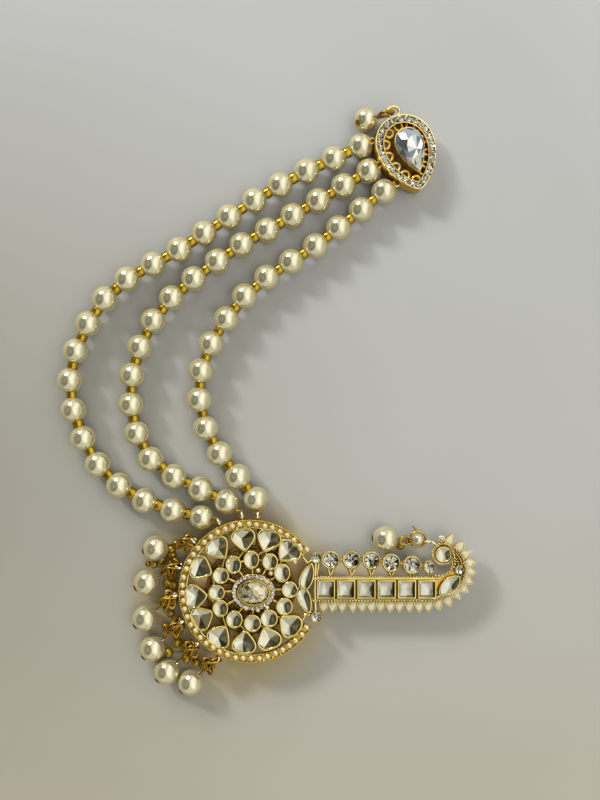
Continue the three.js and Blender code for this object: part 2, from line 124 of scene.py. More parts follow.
def pickEdges(piece, wanted):  # the piece is open already
    bpy.ops.mesh.select_mode(type="EDGE")
    bpy.ops.mesh.select_all(action="DESELECT")
    live = bmesh.from_edit_mesh(piece.data)
    for edge in live.edges:
        edge.select_set(wanted(edge))
    bmesh.update_edit_mesh(piece.data)


def closeEdit():
    bpy.ops.object.mode_set(mode="OBJECT")


def pull(z):
    bpy.ops.mesh.extrude_region_move(TRANSFORM_OT_translate={"value": (0, 0, z * mm)})


def modify(piece, kind, **settings):
    pickOnly(piece)
    step = piece.modifiers.new(kind.lower(), kind)
    for key, value in settings.items():
        setattr(step, key, value)
    bpy.ops.object.modifier_apply(modifier=step.name)


def softEdges(piece, width, segments=2, angle=30.0):
    modify(piece, "BEVEL", width=width * mm, segments=segments, limit_method="ANGLE",
           angle_limit=math.radians(angle))


def smooth(piece, angle=35.0):
    pickOnly(piece)
    bpy.ops.object.shade_smooth_by_angle(angle=math.radians(angle))
    return piece


def cutOut(points, low, high):  # a flat shape with this outline, pulled up; its top face stays picked
    piece = startFrom("circle", vertices=len(points), radius=1, fill_type="NGON")
    for corner, (x, y) in zip(piece.data.vertices, points):
        corner.co = (x * mm, y * mm, low * mm)
    openFaces(piece)
    pull(high - low)
    return piece


def makeCup(points, low, floor, top, wall):
    softest, wallShare = 0.2, 0.42  # how far the lip may be rounded
    piece = cutOut(points, low, top)
    bpy.ops.mesh.inset(thickness=wall * mm)
    pull(floor - top)
    closeEdit()
    softEdges(piece, min(softest, wallShare * wall), 3)
    return smooth(piece, 60)


def stepIn(share, drop, turn=0.0, middle=(0.0, 0.0)):  # the picked face shrinks inward and sinks
    pull(-drop)
    spot = (middle[0] * mm, middle[1] * mm, 0)
    bpy.ops.transform.resize(value=(share, share, 1), center_override=spot)
    if turn:
        bpy.ops.transform.rotate(value=math.radians(turn), orient_axis="Z", center_override=spot)


def makeHollowGem(outline, low, brim, depth, middle=(0.0, 0.0)):
    # a foiled stone: the polish lies over a hollow that throws light back
    gem = cutOut(outline, low, brim)
    last, sunk = 1.0, 0.0
    for share in (0.96, 0.84, 0.66, 0.46, 0.24):
        deep = depth * (1 - share * share)
        stepIn(share / last, deep - sunk, 0, middle)
        last, sunk = share, deep
    bpy.ops.mesh.poke(offset=-0.02 * mm)
    closeEdit()
    return smooth(gem, 50)


def splitFacets(gem, flattest):  # every four-sided facet on the slope is cut in two
    openFaces(gem, lambda face: len(face.verts) == 4 and flattest < face.normal.z < 0.98)
    bpy.ops.mesh.quads_convert_to_tris(quad_method="FIXED")
    closeEdit()


def makeStar(radius, height, points=8):  # a small brilliant on foil, a star of facets round its table
    cut = {"girdle": 0.95, "girdleDrop": 0.02, "table": 0.45, "tableDrop": 0.26, "poke": 0.08, "fold": 0.16}
    gem = cutOut(ovalPoints(2 * radius, 2 * radius, 2 * points), -height, 0)
    stepIn(cut["girdle"], cut["girdleDrop"])
    stepIn(cut["table"], cut["tableDrop"] * radius, 90.0 / points)
    bpy.ops.mesh.poke(offset=-cut["poke"] * radius * mm)
    splitFacets(gem, 0.2)
    inner = [corner for corner in gem.data.vertices if 0.3 < corner.co.xy.length / (radius * mm) < 0.5]
    inner.sort(key=lambda corner: (math.atan2(corner.co.y, corner.co.x) + 0.01) % (2 * math.pi))
    for corner in inner[::2]:
        corner.co.z -= cut["fold"] * radius * mm
    return gem


def makeCutGem(outline, low, girdle, crown, table, tones):  # crown facets in two rows round a table
    waist, lowerShare, upperShare = 0.8, 0.55, 0.45
    halfFacet = 180.0 / len(outline)
    gem = cutOut(outline, low, girdle)
    stepIn(waist, -lowerShare * crown, halfFacet)
    stepIn(table / waist, -upperShare * crown, halfFacet)
    bpy.ops.mesh.poke(offset=0.04 * crown * mm)
    splitFacets(gem, 0.1)
    manyTone(gem, tones)
    return gem


def makeFootedBead(radius, segments, rings, foot, flatten, seat):  # a bead with its underside pressed flat
    bead = startFrom("uv_sphere", segments=segments, ring_count=rings, radius=radius * mm)
    openFaces(bead, lambda face: face.calc_center_median().z < -foot * mm)
    bpy.ops.transform.resize(value=(1, 1, flatten), center_override=(0, 0, -seat * mm))
    closeEdit()
    return smooth(bead, 60)


def makeRing(radius, thickness):
    ring = startFrom("torus", major_radius=radius * mm, minor_radius=thickness * mm,
                     major_segments=36, minor_segments=10)
    openFaces(ring, lambda face: abs(math.atan2(*face.calc_center_median().yx)) < 0.12)
    bpy.ops.transform.resize(value=(1, 0.6, 0.92), center_override=(radius * mm, 0, 0))  # the pinched joint
    closeEdit()
    return smooth(ring, 60)


def turnedPiece(profile, steps, closed=False):
    merge = 0.002 * mm
    piece = startFrom("circle", vertices=len(profile), radius=1)
    for corner, (r, z) in zip(piece.data.vertices, profile):
        corner.co = (r * mm, 0, z * mm)
    if not closed:
        bpy.ops.object.mode_set(mode="EDIT")
        ends = {0, len(profile) - 1}
        pickEdges(piece, lambda edge: {corner.index for corner in edge.verts} == ends)
        bpy.ops.mesh.delete(type="EDGE")
        closeEdit()
    modify(piece, "SCREW", axis="Z", steps=steps, render_steps=steps, use_merge_vertices=True,
           merge_threshold=merge)
    openFaces(piece)
    bpy.ops.mesh.remove_doubles(threshold=merge)
    bpy.ops.mesh.normals_make_consistent(inside=False)
    closeEdit()
    return smooth(piece)


def wire(points, radius, closed=False):  # points are Vectors in metres
    line = bpy.data.curves.new("wire", "CURVE")
    line.dimensions = "3D"
    line.bevel_depth = radius * mm
    line.bevel_resolution = 2
    line.use_fill_caps = True
    run = line.splines.new("POLY")
    run.points.add(len(points) - 1)
    for point, spot in zip(run.points, points):
        point.co = (*spot, 1)
    run.use_cyclic_u = closed
    piece = bpy.data.objects.new("wire", line)
    bpy.context.collection.objects.link(piece)
    pickOnly(piece)
    bpy.ops.object.convert(target="MESH")
    piece = bpy.context.object
    openFaces(piece)
    bpy.ops.mesh.remove_doubles(threshold=0.001 * mm)
    bpy.ops.mesh.normals_make_consistent(inside=False)
    closeEdit()
    return smooth(piece, 50)


def wireThrough(points, radius):  # points in millimetres from the medallion's middle
    return wire([spotOf(*point) for point in points], radius)


def copies(master, places, keep=False):
    made = []
    for place in places:
        twin = master.copy()
        twin.data = master.data.copy()
        twin.data.transform(place)
        bpy.context.collection.objects.link(twin)
        made.append(twin)
    if not keep:
        discard(master)
    return made


def discard(*masters):
    for master in masters:
        bpy.data.objects.remove(master)


def joined(pieces, name):
    bpy.ops.object.select_all(action="DESELECT")
    for piece in pieces:
        piece.select_set(True)
    bpy.context.view_layer.objects.active = pieces[0]
    if len(pieces) > 1:
        bpy.ops.object.join()
    whole = bpy.context.view_layer.objects.active
    whole.name = name
    whole.data.name = name
    return whole


def dress(pieces, name, finish, slotName, *stoodFor):
    piece = joined(pieces if isinstance(pieces, list) else [pieces], name)
    if finish:
        piece.data.materials.clear()
        piece.data.materials.append(finish)
        for face in piece.data.polygons:
            face.material_index = 0
    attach(piece, "root")
    if stoodFor:
        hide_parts(*stoodFor)


def inOrder(piece):  # faces by their place, because the operators leave them in no fixed order
    return sorted(piece.data.polygons, key=lambda face: [round(part, 6) for part in face.center])


def twoTone(piece, bright, dark, chosen):  # some facets get the dark tone as painted shade
    piece.data.materials.clear()
    piece.data.materials.append(bright)
    piece.data.materials.append(dark)
    for face in inOrder(piece):
        face.material_index = 1 if chosen(face) else 0


def manyTone(gem, tones):  # every upward facet gets a random foil tone, painted glints and painted dark reflections among them
    gem.data.materials.clear()
    for tone in tones:
        gem.data.materials.append(tone)
    for face in inOrder(gem):
        face.material_index = random.randrange(len(tones)) if face.normal.z > 0.1 else 0


def starCopies(gem, places):
    made = []
    for place in places:
        # painted glints and painted shade: bright, white and dark foils spread at random over the facets
        manyTone(gem, [starFoil, paintedGlintFoil, shadowFoil, paintedGlintFoil, shadowFoil, starFoil, paintedGlintFoil])
        made += copies(gem, [place], keep=True)
    return made


def paleTopShadedSides(pieces, top=None, sides=None):  # painted shade: pale gold on top, the darker amber gold down the sides as painted shade
    for piece in pieces:
        twoTone(piece, top or paleGold, sides or amberGold, lambda face: face.normal.z < 0.3)
    return pieces


# outlines

def rounded(points, closed=True):  # corners cut twice, until the outline is round
    for _ in range(2):
        ahead = points[1:] + points[:1] if closed else points[1:]
        cut = []
        for a, b in zip(points, ahead):
            cut.append(tuple(0.75 * p + 0.25 * q for p, q in zip(a, b)))
            cut.append(tuple(0.25 * p + 0.75 * q for p, q in zip(a, b)))
        points = cut if closed else [points[0]] + cut + [points[-1]]
    return points


def grown(points, share):
    return [(x * share, y * share) for x, y in points]


def evenAngles(count):
    return [2 * math.pi * i / count for i in range(count)]


def ovalPoints(width, depth, count):
    return [(width / 2 * math.cos(t), depth / 2 * math.sin(t)) for t in evenAngles(count)]


def pearSwell(t, taper):  # half width of a pear, from its tip round
    return math.sin(t) * math.sin(t / 2) ** taper


def pearPoints(length, width, taper, count):  # tip at -Y
    widest = max(pearSwell(t, taper) for t in evenAngles(count))
    return [(width / 2 * pearSwell(t, taper) / widest, -length / 2 * math.cos(t)) for t in evenAngles(count)]


def evenly(points, count, closed=True):  # points spaced equally along a line
    run = points + points[:1] if closed else points
    run = [Vector(p) for p in run]
    lengths = [0.0]
    for a, b in zip(run, run[1:]):
        lengths.append(lengths[-1] + (b - a).length)
    spaced = []
    step = lengths[-1] / (count if closed else count - 1)
    k = 0
    for i in range(count):
        want = min(i * step, lengths[-1])
        while k < len(run) - 2 and lengths[k + 1] < want:
            k += 1
        share = (want - lengths[k]) / max(lengths[k + 1] - lengths[k], 1e-9)
        spaced.append(run[k].lerp(run[k + 1], share))
    return spaced


# finishes

def newFinish(name, **sockets):
    finish = bpy.data.materials.new(name)
    finish.use_nodes = True
    shader = finish.node_tree.nodes["Principled BSDF"]
    for key, value in sockets.items():
        shader.inputs[key.replace("_", " ")].default_value = value
    return finish, finish.node_tree.nodes, finish.node_tree.links, shader


def noiseOf(nodes, links, scale, detail=3.0):
    where = nodes.new("ShaderNodeTexCoord")
    noise = nodes.new("ShaderNodeTexNoise")
    noise.inputs["Scale"].default_value = scale
    noise.inputs["Detail"].default_value = detail
    links.new(where.outputs["Object"], noise.inputs["Vector"])
    return noise.outputs["Fac"]


def rampOf(nodes, links, source, stops):
    ramp = nodes.new("ShaderNodeValToRGB")
    while len(ramp.color_ramp.elements) < len(stops):
        ramp.color_ramp.elements.new(0.5)
    for element, (place, colour) in zip(ramp.color_ramp.elements, stops):
        element.position = place
        element.color = (*colour, 1)
    links.new(source, ramp.inputs["Fac"])
    return ramp.outputs["Color"]


def spanOf(nodes, links, source, low, high, start=0.0):
    span = nodes.new("ShaderNodeMapRange")
    span.inputs["From Min"].default_value = start
    span.inputs["To Min"].default_value = low
    span.inputs["To Max"].default_value = high
    links.new(source, span.inputs["Value"])
    return span.outputs["Result"]


def timesColour(nodes, links, one, other):
    mix = nodes.new("ShaderNodeMix")
    mix.data_type = "RGBA"
    mix.blend_type = "MULTIPLY"
    mix.inputs["Factor"].default_value = 1.0
    links.new(one, mix.inputs[6])
    links.new(other, mix.inputs[7])
    return mix.outputs[2]


def vectorStep(nodes, links, operation, source, *values):
    step = nodes.new("ShaderNodeVectorMath")
    step.operation = operation
    links.new(source, step.inputs[0])
    for socket, value in zip(list(step.inputs)[1:], values):
        socket.default_value = value
    return step


def bumpOf(nodes, links, shader, source, strength, distance):
    bump = nodes.new("ShaderNodeBump")
    bump.inputs["Strength"].default_value = strength
    bump.inputs["Distance"].default_value = distance
    links.new(source, bump.inputs["Height"])
    links.new(bump.outputs["Normal"], shader.inputs["Normal"])


black, white = (0, 0, 0), (1, 1, 1)


def goldFinish(name, face, worn, recessShade, smoothest, roughest, reach):  # painted shade: darker in recesses, by an occlusion mask
    finish, nodes, links, shader = newFinish(name, Metallic=1.0)
    tone = rampOf(nodes, links, noiseOf(nodes, links, 420), [(0.35, worn), (0.62, face)])
    # painted shade: the occlusion mask pulls recessed metal toward the recess shade tone
    corner = nodes.new("ShaderNodeAmbientOcclusion")
    corner.samples = 6
    corner.inputs["Distance"].default_value = reach * mm
    mix = nodes.new("ShaderNodeMix")
    mix.data_type = "RGBA"
    links.new(rampOf(nodes, links, corner.outputs["AO"], [(0.3, black), (0.9, white)]), mix.inputs["Factor"])
    mix.inputs[6].default_value = (*recessShade, 1)
    links.new(tone, mix.inputs[7])
    links.new(mix.outputs[2], shader.inputs["Base Color"])
    fine = noiseOf(nodes, links, 2600, 2)
    links.new(spanOf(nodes, links, fine, smoothest, roughest), shader.inputs["Roughness"])
    bumpOf(nodes, links, shader, fine, 0.12, 0.05 * mm)
    return finish


def pearlFinish(name, middle, edge, dapple, shine, rimShine):  # painted sheen and shade: the metal shine and the colour change with the facing angle, the edge tone standing for painted reflection and shade at the rim
    finish, nodes, links, shader = newFinish(name, Coat_Weight=0.4, Coat_Roughness=0.06, Coat_IOR=1.45,
                                             Subsurface_Weight=0.05, Subsurface_Scale=1.0 * mm)
    turn = nodes.new("ShaderNodeLayerWeight")
    turn.inputs["Blend"].default_value = 0.4
    facing = turn.outputs["Facing"]
    tone = rampOf(nodes, links, facing, [(0.1, middle), (0.75, edge)])
    facingSheen = rampOf(nodes, links, facing, [(0.1, (shine,) * 3), (0.8, (rimShine,) * 3)])
    links.new(facingSheen, shader.inputs["Metallic"])
    clouds = noiseOf(nodes, links, 260)
    dull = rampOf(nodes, links, clouds, [(0.3, dapple), (0.65, white)])
    links.new(timesColour(nodes, links, tone, dull), shader.inputs["Base Color"])
    links.new(spanOf(nodes, links, clouds, 0.13, 0.22), shader.inputs["Roughness"])
    return finish


def foilFinish(name, pale, warm, ripple, metal=1.0):
    finish, nodes, links, shader = newFinish(name, Metallic=metal, Coat_Weight=0.5, Coat_Roughness=0.02)
    tone = rampOf(nodes, links, noiseOf(nodes, links, 210, 2), [(0.38, warm), (0.6, pale)])
    links.new(tone, shader.inputs["Base Color"])
    fine = noiseOf(nodes, links, 900, 2)
    links.new(spanOf(nodes, links, fine, 0.02, 0.1), shader.inputs["Roughness"])
    bumpOf(nodes, links, shader, noiseOf(nodes, links, 330, 1), ripple, 0.6 * mm)
    return finish


def enamelFinish(name, cream, shade):
    finish, nodes, links, shader = newFinish(name, Coat_Weight=0.6, Coat_Roughness=0.08,
                                             Subsurface_Weight=0.15, Subsurface_Scale=0.8 * mm)
    tone = rampOf(nodes, links, noiseOf(nodes, links, 380), [(0.3, shade), (0.6, cream)])
    links.new(tone, shader.inputs["Base Color"])
    fine = noiseOf(nodes, links, 1700, 2)
    links.new(spanOf(nodes, links, fine, 0.22, 0.4), shader.inputs["Roughness"])
    bumpOf(nodes, links, shader, fine, 0.1, 0.05 * mm)
    return finish


# golds: face and worn tones, the painted shade tone for recesses, then the smoothest and roughest polish and
# how far the painted recess shade reaches
paleGold = goldFinish("paleGold", (0.91, 0.77, 0.30), (0.79, 0.61, 0.16), (0.26, 0.15, 0.02),
                      0.09, 0.26, 1.4)
amberGold = goldFinish("amberGold", (0.82, 0.54, 0.11), (0.68, 0.40, 0.05), (0.28, 0.13, 0.01),
                       0.22, 0.4, 0.9)
rimGold = goldFinish("rimGold", (0.78, 0.54, 0.06), (0.66, 0.42, 0.035), (0.46, 0.24, 0.015),
                     0.16, 0.34, 0.6)
ringBrass = goldFinish("ringBrass", (0.55, 0.33, 0.045), (0.26, 0.125, 0.012), (0.08, 0.035, 0.004),
                       0.1, 0.26, 0.9)
oliveBrass = goldFinish("oliveBrass", (0.62, 0.43, 0.08), (0.36, 0.22, 0.03), (0.12, 0.06, 0.008),
                        0.12, 0.28, 0.9)
# a dark brown brass as painted shade for the parts lying under the brooches
underShadeBrass = goldFinish("underShadeBrass", (0.30, 0.20, 0.06), (0.20, 0.12, 0.03), (0.08, 0.045, 0.01),
                       0.4, 0.6, 1.5)
whiteGold = goldFinish("whiteGold", (0.98, 0.91, 0.68), (0.88, 0.78, 0.48), (0.36, 0.24, 0.06),
                       0.1, 0.24, 0.9)
leafGold = goldFinish("leafGold", (0.80, 0.68, 0.32), (0.62, 0.50, 0.17), (0.20, 0.13, 0.02),
                      0.12, 0.28, 0.9)

# pearls and beads: middle tone, edge tone as painted rim reflection and shade, and dapple tone, then the
# painted shine in the middle and at the edge
ivoryPearl = pearlFinish("ivoryPearl", (0.70, 0.67, 0.49), (0.58, 0.49, 0.21), (0.95, 0.92, 0.84), 0.86, 0.45)
seedPearl = pearlFinish("seedPearl", (0.66, 0.57, 0.34), (0.45, 0.29, 0.06), (0.96, 0.92, 0.88), 0.55, 0.3)
amberGlass = pearlFinish("amberGlass", (0.50, 0.345, 0.015), (0.26, 0.155, 0.005), (0.8, 0.66, 0.4),
                         0.92, 0.75)
honeyGlass = pearlFinish("honeyGlass", (0.36, 0.25, 0.015), (0.17, 0.10, 0.003), (0.8, 0.66, 0.4), 0.75, 0.4)

# foils behind the stones: pale and warm tones, ripple, and how much of a mirror each is; the dark ones are
# painted shade and painted dark reflections, the part-diffuse white one a painted glint
silverFoil = foilFinish("silverFoil", (0.60, 0.58, 0.46), (0.51, 0.48, 0.34), 0.3)
paneFoil = foilFinish("paneFoil", (0.52, 0.505, 0.42), (0.42, 0.40, 0.29), 0.3)
paintedShadeFoil = foilFinish("paintedShadeFoil", (0.29, 0.235, 0.12), (0.18, 0.135, 0.05), 0.3)
starFoil = foilFinish("starFoil", (0.88, 0.86, 0.79), (0.74, 0.70, 0.60), 0.02)
shadowFoil = foilFinish("shadowFoil", (0.10, 0.072, 0.025), (0.05, 0.032, 0.008), 0.02)
iceFoil = foilFinish("iceFoil", (0.46, 0.52, 0.56), (0.36, 0.41, 0.44), 0.03, 0.7)
darkReflectionFoil = foilFinish("darkReflectionFoil", (0.15, 0.17, 0.185), (0.10, 0.115, 0.125), 0.03, 0.6)
paintedGlintFoil = foilFinish("paintedGlintFoil", (0.74, 0.74, 0.67), (0.62, 0.62, 0.55), 0.03, 0.6)
champagneFoil = foilFinish("champagneFoil", (0.72, 0.66, 0.42), (0.60, 0.51, 0.27), 0.03, 0.8)
creamEnamel = enamelFinish("creamEnamel", (0.53, 0.465, 0.30), (0.44, 0.37, 0.20))
print("finishes ready")


# the medallion: rim, petals, inner rounds and the oval in the middle

rim = {"inner": 19.95, "outer": 22.6, "bottom": 6.0, "floor": 7.5, "lip": 8.1, "innerLip": 7.9, "steps": 120,
       "wireReach": 20.15, "wireHeight": 7.95, "wire": 0.24,
       "grainReach": 22.35, "grainHeight": 8.12, "grainCount": 176, "grainRadius": 0.3,
       "grainFrom": 35, "grainTo": 328,
       "pearlReach": 21.25, "pearlHeight": 8.25, "pearlRadius": 0.96, "pearlFrom": 42.5, "pearlTo": 327.0,
       "pearlCount": 42, "loosePearls": [(16.0, 13.5), (18.0, 13.2)],
       "mouthTip": (2.0, 0.0), "mouthReach": 30, "mouthAngles": (-32, -16, 0, 16, 35)}
channel = turnedPiece([(rim["inner"], rim["bottom"]), (rim["outer"], rim["bottom"]),
                       (rim["outer"], rim["lip"]), (rim["outer"] - 0.45, rim["lip"]),
                       (rim["outer"] - 0.6, rim["floor"]), (rim["inner"] + 0.55, rim["floor"]),
                       (rim["inner"] + 0.4, rim["innerLip"]), (rim["inner"], rim["innerLip"])],
                      rim["steps"], closed=True)
softEdges(channel, 0.1)
mouth = cutOut([rim["mouthTip"]] + [onCircle(a, rim["mouthReach"]) for a in rim["mouthAngles"]], 5.0, 9.5)
closeEdit()
modify(channel, "BOOLEAN", operation="DIFFERENCE", object=mouth, solver="EXACT")  # the arm's side stays open
channel.data.transform(at(0, 0))
dress(channel, "rim_channel", rimGold, "gold_metal", "setting")

grain = smooth(startFrom("uv_sphere", segments=8, ring_count=6, radius=rim["grainRadius"] * mm), 80)
grainAngles = [360 * i / rim["grainCount"] for i in range(rim["grainCount"])]
grains = copies(grain, [ringPlace(rim["grainReach"], a, rim["grainHeight"]) for a in grainAngles
                        if rim["grainFrom"] < a < rim["grainTo"]], keep=True)
wireSection = [(rim["wireReach"] + r, rim["wireHeight"] + z)
               for r, z in ovalPoints(2 * rim["wire"], 2 * rim["wire"], 8)]
innerWire = turnedPiece(wireSection, rim["steps"], closed=True)
modify(innerWire, "BOOLEAN", operation="DIFFERENCE", object=mouth, solver="EXACT")
discard(mouth)
innerWire.data.transform(at(0, 0))
dress(grains + [innerWire], "rim_milgrain", paleGold, "gold_metal", "setting")

seed = makeFootedBead(rim["pearlRadius"], 20, 12, 0.75 * rim["pearlRadius"], 0.2, 0.8 * rim["pearlRadius"])
step = (rim["pearlTo"] - rim["pearlFrom"]) / (rim["pearlCount"] - 1)
pearlSpots = [ringPlace(rim["pearlReach"] + random.uniform(-0.12, 0.12),
                        rim["pearlFrom"] + i * step + random.uniform(-0.5, 0.5), rim["pearlHeight"])
              for i in range(rim["pearlCount"])]
pearlSpots += [at(x, y, rim["pearlHeight"]) for x, y in rim["loosePearls"]]
dress(copies(seed, pearlSpots), "rim_pearls", seedPearl, "pearl", "setting")
print("rim done")

# petals: angle and reach of each, and from where painted shade falls on its facets (direction, distance)
petal = {"low": 4.6, "floor": 7.2, "top": 8.3, "wall": 0.72, "gemLow": 7.3, "brim": 8.15, "depth": 0.75,
         "cupGrowth": 1.27, "gemGrowth": 1.05, "halfShadeShare": 0.55,
         "spots": [(97.6, 16.4), (70.3, 16.9), (46.1, 17.2), (-40.5, 16.2), (-68.7, 15.8), (-96.7, 16.1),
                   (-124.3, 17.1), (-151.2, 17.2), (-174.5, 17.2), (155.2, 17.0), (126.8, 16.8)],
         "shade": [(0, 0.3), (-70, 1.4), (-110, 1.2), (-50, 1.5), (-80, 1.4), (-60, 1.0),
                   (-30, 1.3), (-120, 0.9), (-20, 0.1), (0, 0.2), (-40, 0.2)],
         "cup": [(0, -3.3), (1.9, -1.5), (3.35, 0.35), (2.9, 2.1), (1.35, 3.05),
                 (-1.35, 3.05), (-2.9, 2.1), (-3.35, 0.35), (-1.9, -1.5)],
         "gem": [(0, -3.15), (2.2, -1.0), (3.25, 0.6), (2.3, 2.4),
                 (0, 3.0), (-2.3, 2.4), (-3.25, 0.6), (-2.2, -1.0)]}
petalCup = makeCup(grown(rounded(petal["cup"]), petal["cupGrowth"]),
                   petal["low"], petal["floor"], petal["top"], petal["wall"])
petalGem = cutOut(grown(petal["gem"], petal["gemGrowth"]), petal["gemLow"], petal["brim"])
stepIn(0.97, 0.05)
bpy.ops.mesh.poke(offset=-petal["depth"] * mm)
closeEdit()
petalPlaces = [ringPlace(reach, angle, 0) for angle, reach in petal["spots"]]
goldBits = copies(petalCup, petalPlaces)
for i, (place, (side, start)) in enumerate(zip(petalPlaces, petal["shade"])):
    gem = copies(petalGem, [Matrix.Identity(4)], keep=True)[0]
    central = [corner for corner in gem.data.vertices if corner.co.xy.length < 0.5 * mm]
    culet = min(central, key=lambda corner: corner.co.z)
    stray = (random.uniform(-0.9, 0.9), random.uniform(-0.6, 0.9), random.uniform(-0.2, 0.15))
    culet.co += Vector(stray) * mm
    gem.data.transform(place)
    middle = place.translation
    lean = Vector((*onCircle(side, 1), 0))
    # painted shade: facets past a shade line get the dark foil, some of them the mid-grey one
    twoTone(gem, silverFoil, paintedShadeFoil, lambda face: face.normal.z > 0.3
            and (face.center - middle).dot(lean) > (start + random.uniform(0.1, 0.9)) * mm)
    gem.data.materials.append(paneFoil)
    for face in inOrder(gem):
        if face.material_index == 1 and random.random() < petal["halfShadeShare"]:
            face.material_index = 2
    dress(gem, "petal_gem_" + str(i + 1), None, "clear_stone", "petal_stone_" + str(i + 1))
discard(petalGem)

sideLeaf = {"length": 7.0, "width": 3.4, "taper": 0.5, "cupGrowth": 1.3, "wall": 0.45, "depth": 0.55,
            "hollow": (0, 0.8), "places": [("upper", 18.0, 4.7, 160), ("lower", 17.2, -2.7, 20)]}
leafOutline = pearPoints(sideLeaf["length"], sideLeaf["width"], sideLeaf["taper"], 24)
leafCup = makeCup(grown(leafOutline, sideLeaf["cupGrowth"]),
                  petal["low"], petal["floor"], petal["top"], sideLeaf["wall"])
leafGem = makeHollowGem(leafOutline, petal["gemLow"], petal["brim"], sideLeaf["depth"], sideLeaf["hollow"])
for side, x, y, turn in sideLeaf["places"]:
    goldBits += copies(leafCup, [at(x, y, 0, turn)], keep=True)
    gem = copies(leafGem, [at(x, y, 0, turn)], keep=True)
    dress(gem, side + "_leaf_gem", silverFoil, "clear_stone", side + "_leaf_stone")
discard(leafCup, leafGem)

# inner rounds: place, and how far each is stretched along x and y
innerRound = {"radius": 2.05, "wall": 0.6, "dome": 0.5, "hollow": (0.5, 0.2), "gemHeight": 8.16,
              "spots": [(0.4, 9.97, 0.95, 1.12), (6.3, 9.3, 0.97, 1.03), (10.1, 5.8, 1.0, 1.12),
                        (12.5, 0.5, 0.98, 1.0), (10.8, -4.8, 1.02, 1.05), (6.0, -8.6, 1.06, 1.08),
                        (0.7, -10.1, 1.05, 1.05), (-5.0, -8.9, 1.02, 1.08), (-9.4, -5.4, 0.95, 1.05),
                        (-10.6, -0.4, 1.02, 0.95), (-9.3, 4.9, 1.0, 0.98), (-5.3, 8.4, 0.97, 1.1)]}
cupWidth, gemWidth = 2 * (innerRound["radius"] + innerRound["wall"]), 2 * innerRound["radius"]
roundCup = makeCup(ovalPoints(cupWidth, cupWidth, 28),
                   petal["low"], petal["floor"], petal["top"], innerRound["wall"])
roundGem = makeHollowGem(ovalPoints(gemWidth, gemWidth, 28), -gemThick, 0,
                         innerRound["dome"], innerRound["hollow"])
goldBits += copies(roundCup, [at(x, y, 0, 0, (sx, sy, 1)) for x, y, sx, sy in innerRound["spots"]])
gemPlaces = [at(x, y, innerRound["gemHeight"], 0, (sx, sy, 1))
             @ Matrix.Rotation(random.uniform(-1.6, 1.6), 4, "Z")
             @ Matrix.Rotation(random.uniform(-0.12, 0.12), 4, "Y")  # none lies quite level
             for x, y, sx, sy in innerRound["spots"]]
dress(copies(roundGem, gemPlaces), "inner_gems", silverFoil, "clear_stone", "setting")

# wires that tie the cups together, left open between
tie = {"radius": 0.42, "thin": 0.36, "height": 7.1, "lowHeight": 6.7, "ringHeight": 6.9,
       "middle": 1.1, "middleReach": 5.2, "petalTip": 3.4, "cupReach": 2.4}
roundSpots = [spot[:2] for spot in innerRound["spots"]]
for x, y in roundSpots:
    share = tie["middleReach"] / math.hypot(x - tie["middle"], y)
    foot = (tie["middle"] + (x - tie["middle"]) * share, y * share, tie["lowHeight"])
    goldBits.append(wireThrough([foot, (x, y, tie["lowHeight"])], tie["radius"]))
for angle, reach in petal["spots"]:
    tipX, tipY = onCircle(angle, reach - tie["petalTip"])
    near = sorted(roundSpots, key=lambda spot: math.hypot(spot[0] - tipX, spot[1] - tipY))[:2]
    for x, y in near:
        share = 1 - tie["cupReach"] / max(math.hypot(x - tipX, y - tipY), 2.5)
        foot = (tipX + (x - tipX) * share, tipY + (y - tipY) * share, tie["height"])
        goldBits.append(wireThrough([(tipX, tipY, tie["height"]), foot], tie["radius"]))
for here, there in zip(roundSpots, roundSpots[1:] + roundSpots[:1]):
    goldBits.append(wireThrough([(*here, tie["ringHeight"]), (*there, tie["ringHeight"])], tie["thin"]))

gallery = {"outer": 13.6, "inner": 7.3, "innerShift": 0.5, "height": 5.0, "wire": 0.62, "spoke": 0.5,
           "rimReach": 20.6, "rimHeight": 5.8}
underWires = []
for reach, shift in ((gallery["outer"], 0), (gallery["inner"], gallery["innerShift"])):  # under the cups
    ring = [ringSpot(reach, a, gallery["height"]) + Vector((shift * mm, 0, 0)) for a in range(0, 360, 6)]
    underWires.append(wire(ring, gallery["wire"], closed=True))
for a in range(12, 372, 30):
    underWires.append(wire([ringSpot(gallery["inner"], a, gallery["height"]),
                            ringSpot(gallery["outer"], a + 4, gallery["height"])], gallery["spoke"]))
for a in range(56, 326, 26):
    underWires.append(wire([ringSpot(gallery["outer"], a, gallery["height"]),
                            ringSpot(gallery["rimReach"], a, gallery["rimHeight"])], gallery["spoke"]))
# painted shade: the wires under the cups are dark brown, standing for the shade beneath the medallion
dress(underWires, "medallion_gallery", underShadeBrass, "gold_metal", "setting")

mouthWires = [([(20.7, 9.4, 7.5), (20.5, 5.0, 7.5), (20.4, 0.6, 7.5), (20.5, -4.0, 7.5),
                (20.7, -7.0, 7.5)], 0.6),
              ([(19.6, 9.6, 7.2), (18.2, 8.8, 7.4), (16.6, 10.6, 7.2)], 0.5),
              ([(19.6, -7.8, 7.2), (17.6, -7.2, 7.4), (16.4, -9.4, 7.2)], 0.5)]
for points, radius in mouthWires:
    goldBits.append(wireThrough(points, radius))
dress(paleTopShadedSides(goldBits), "medallion_cups", None, "gold_metal", "setting")
print("petals and inner rounds done")

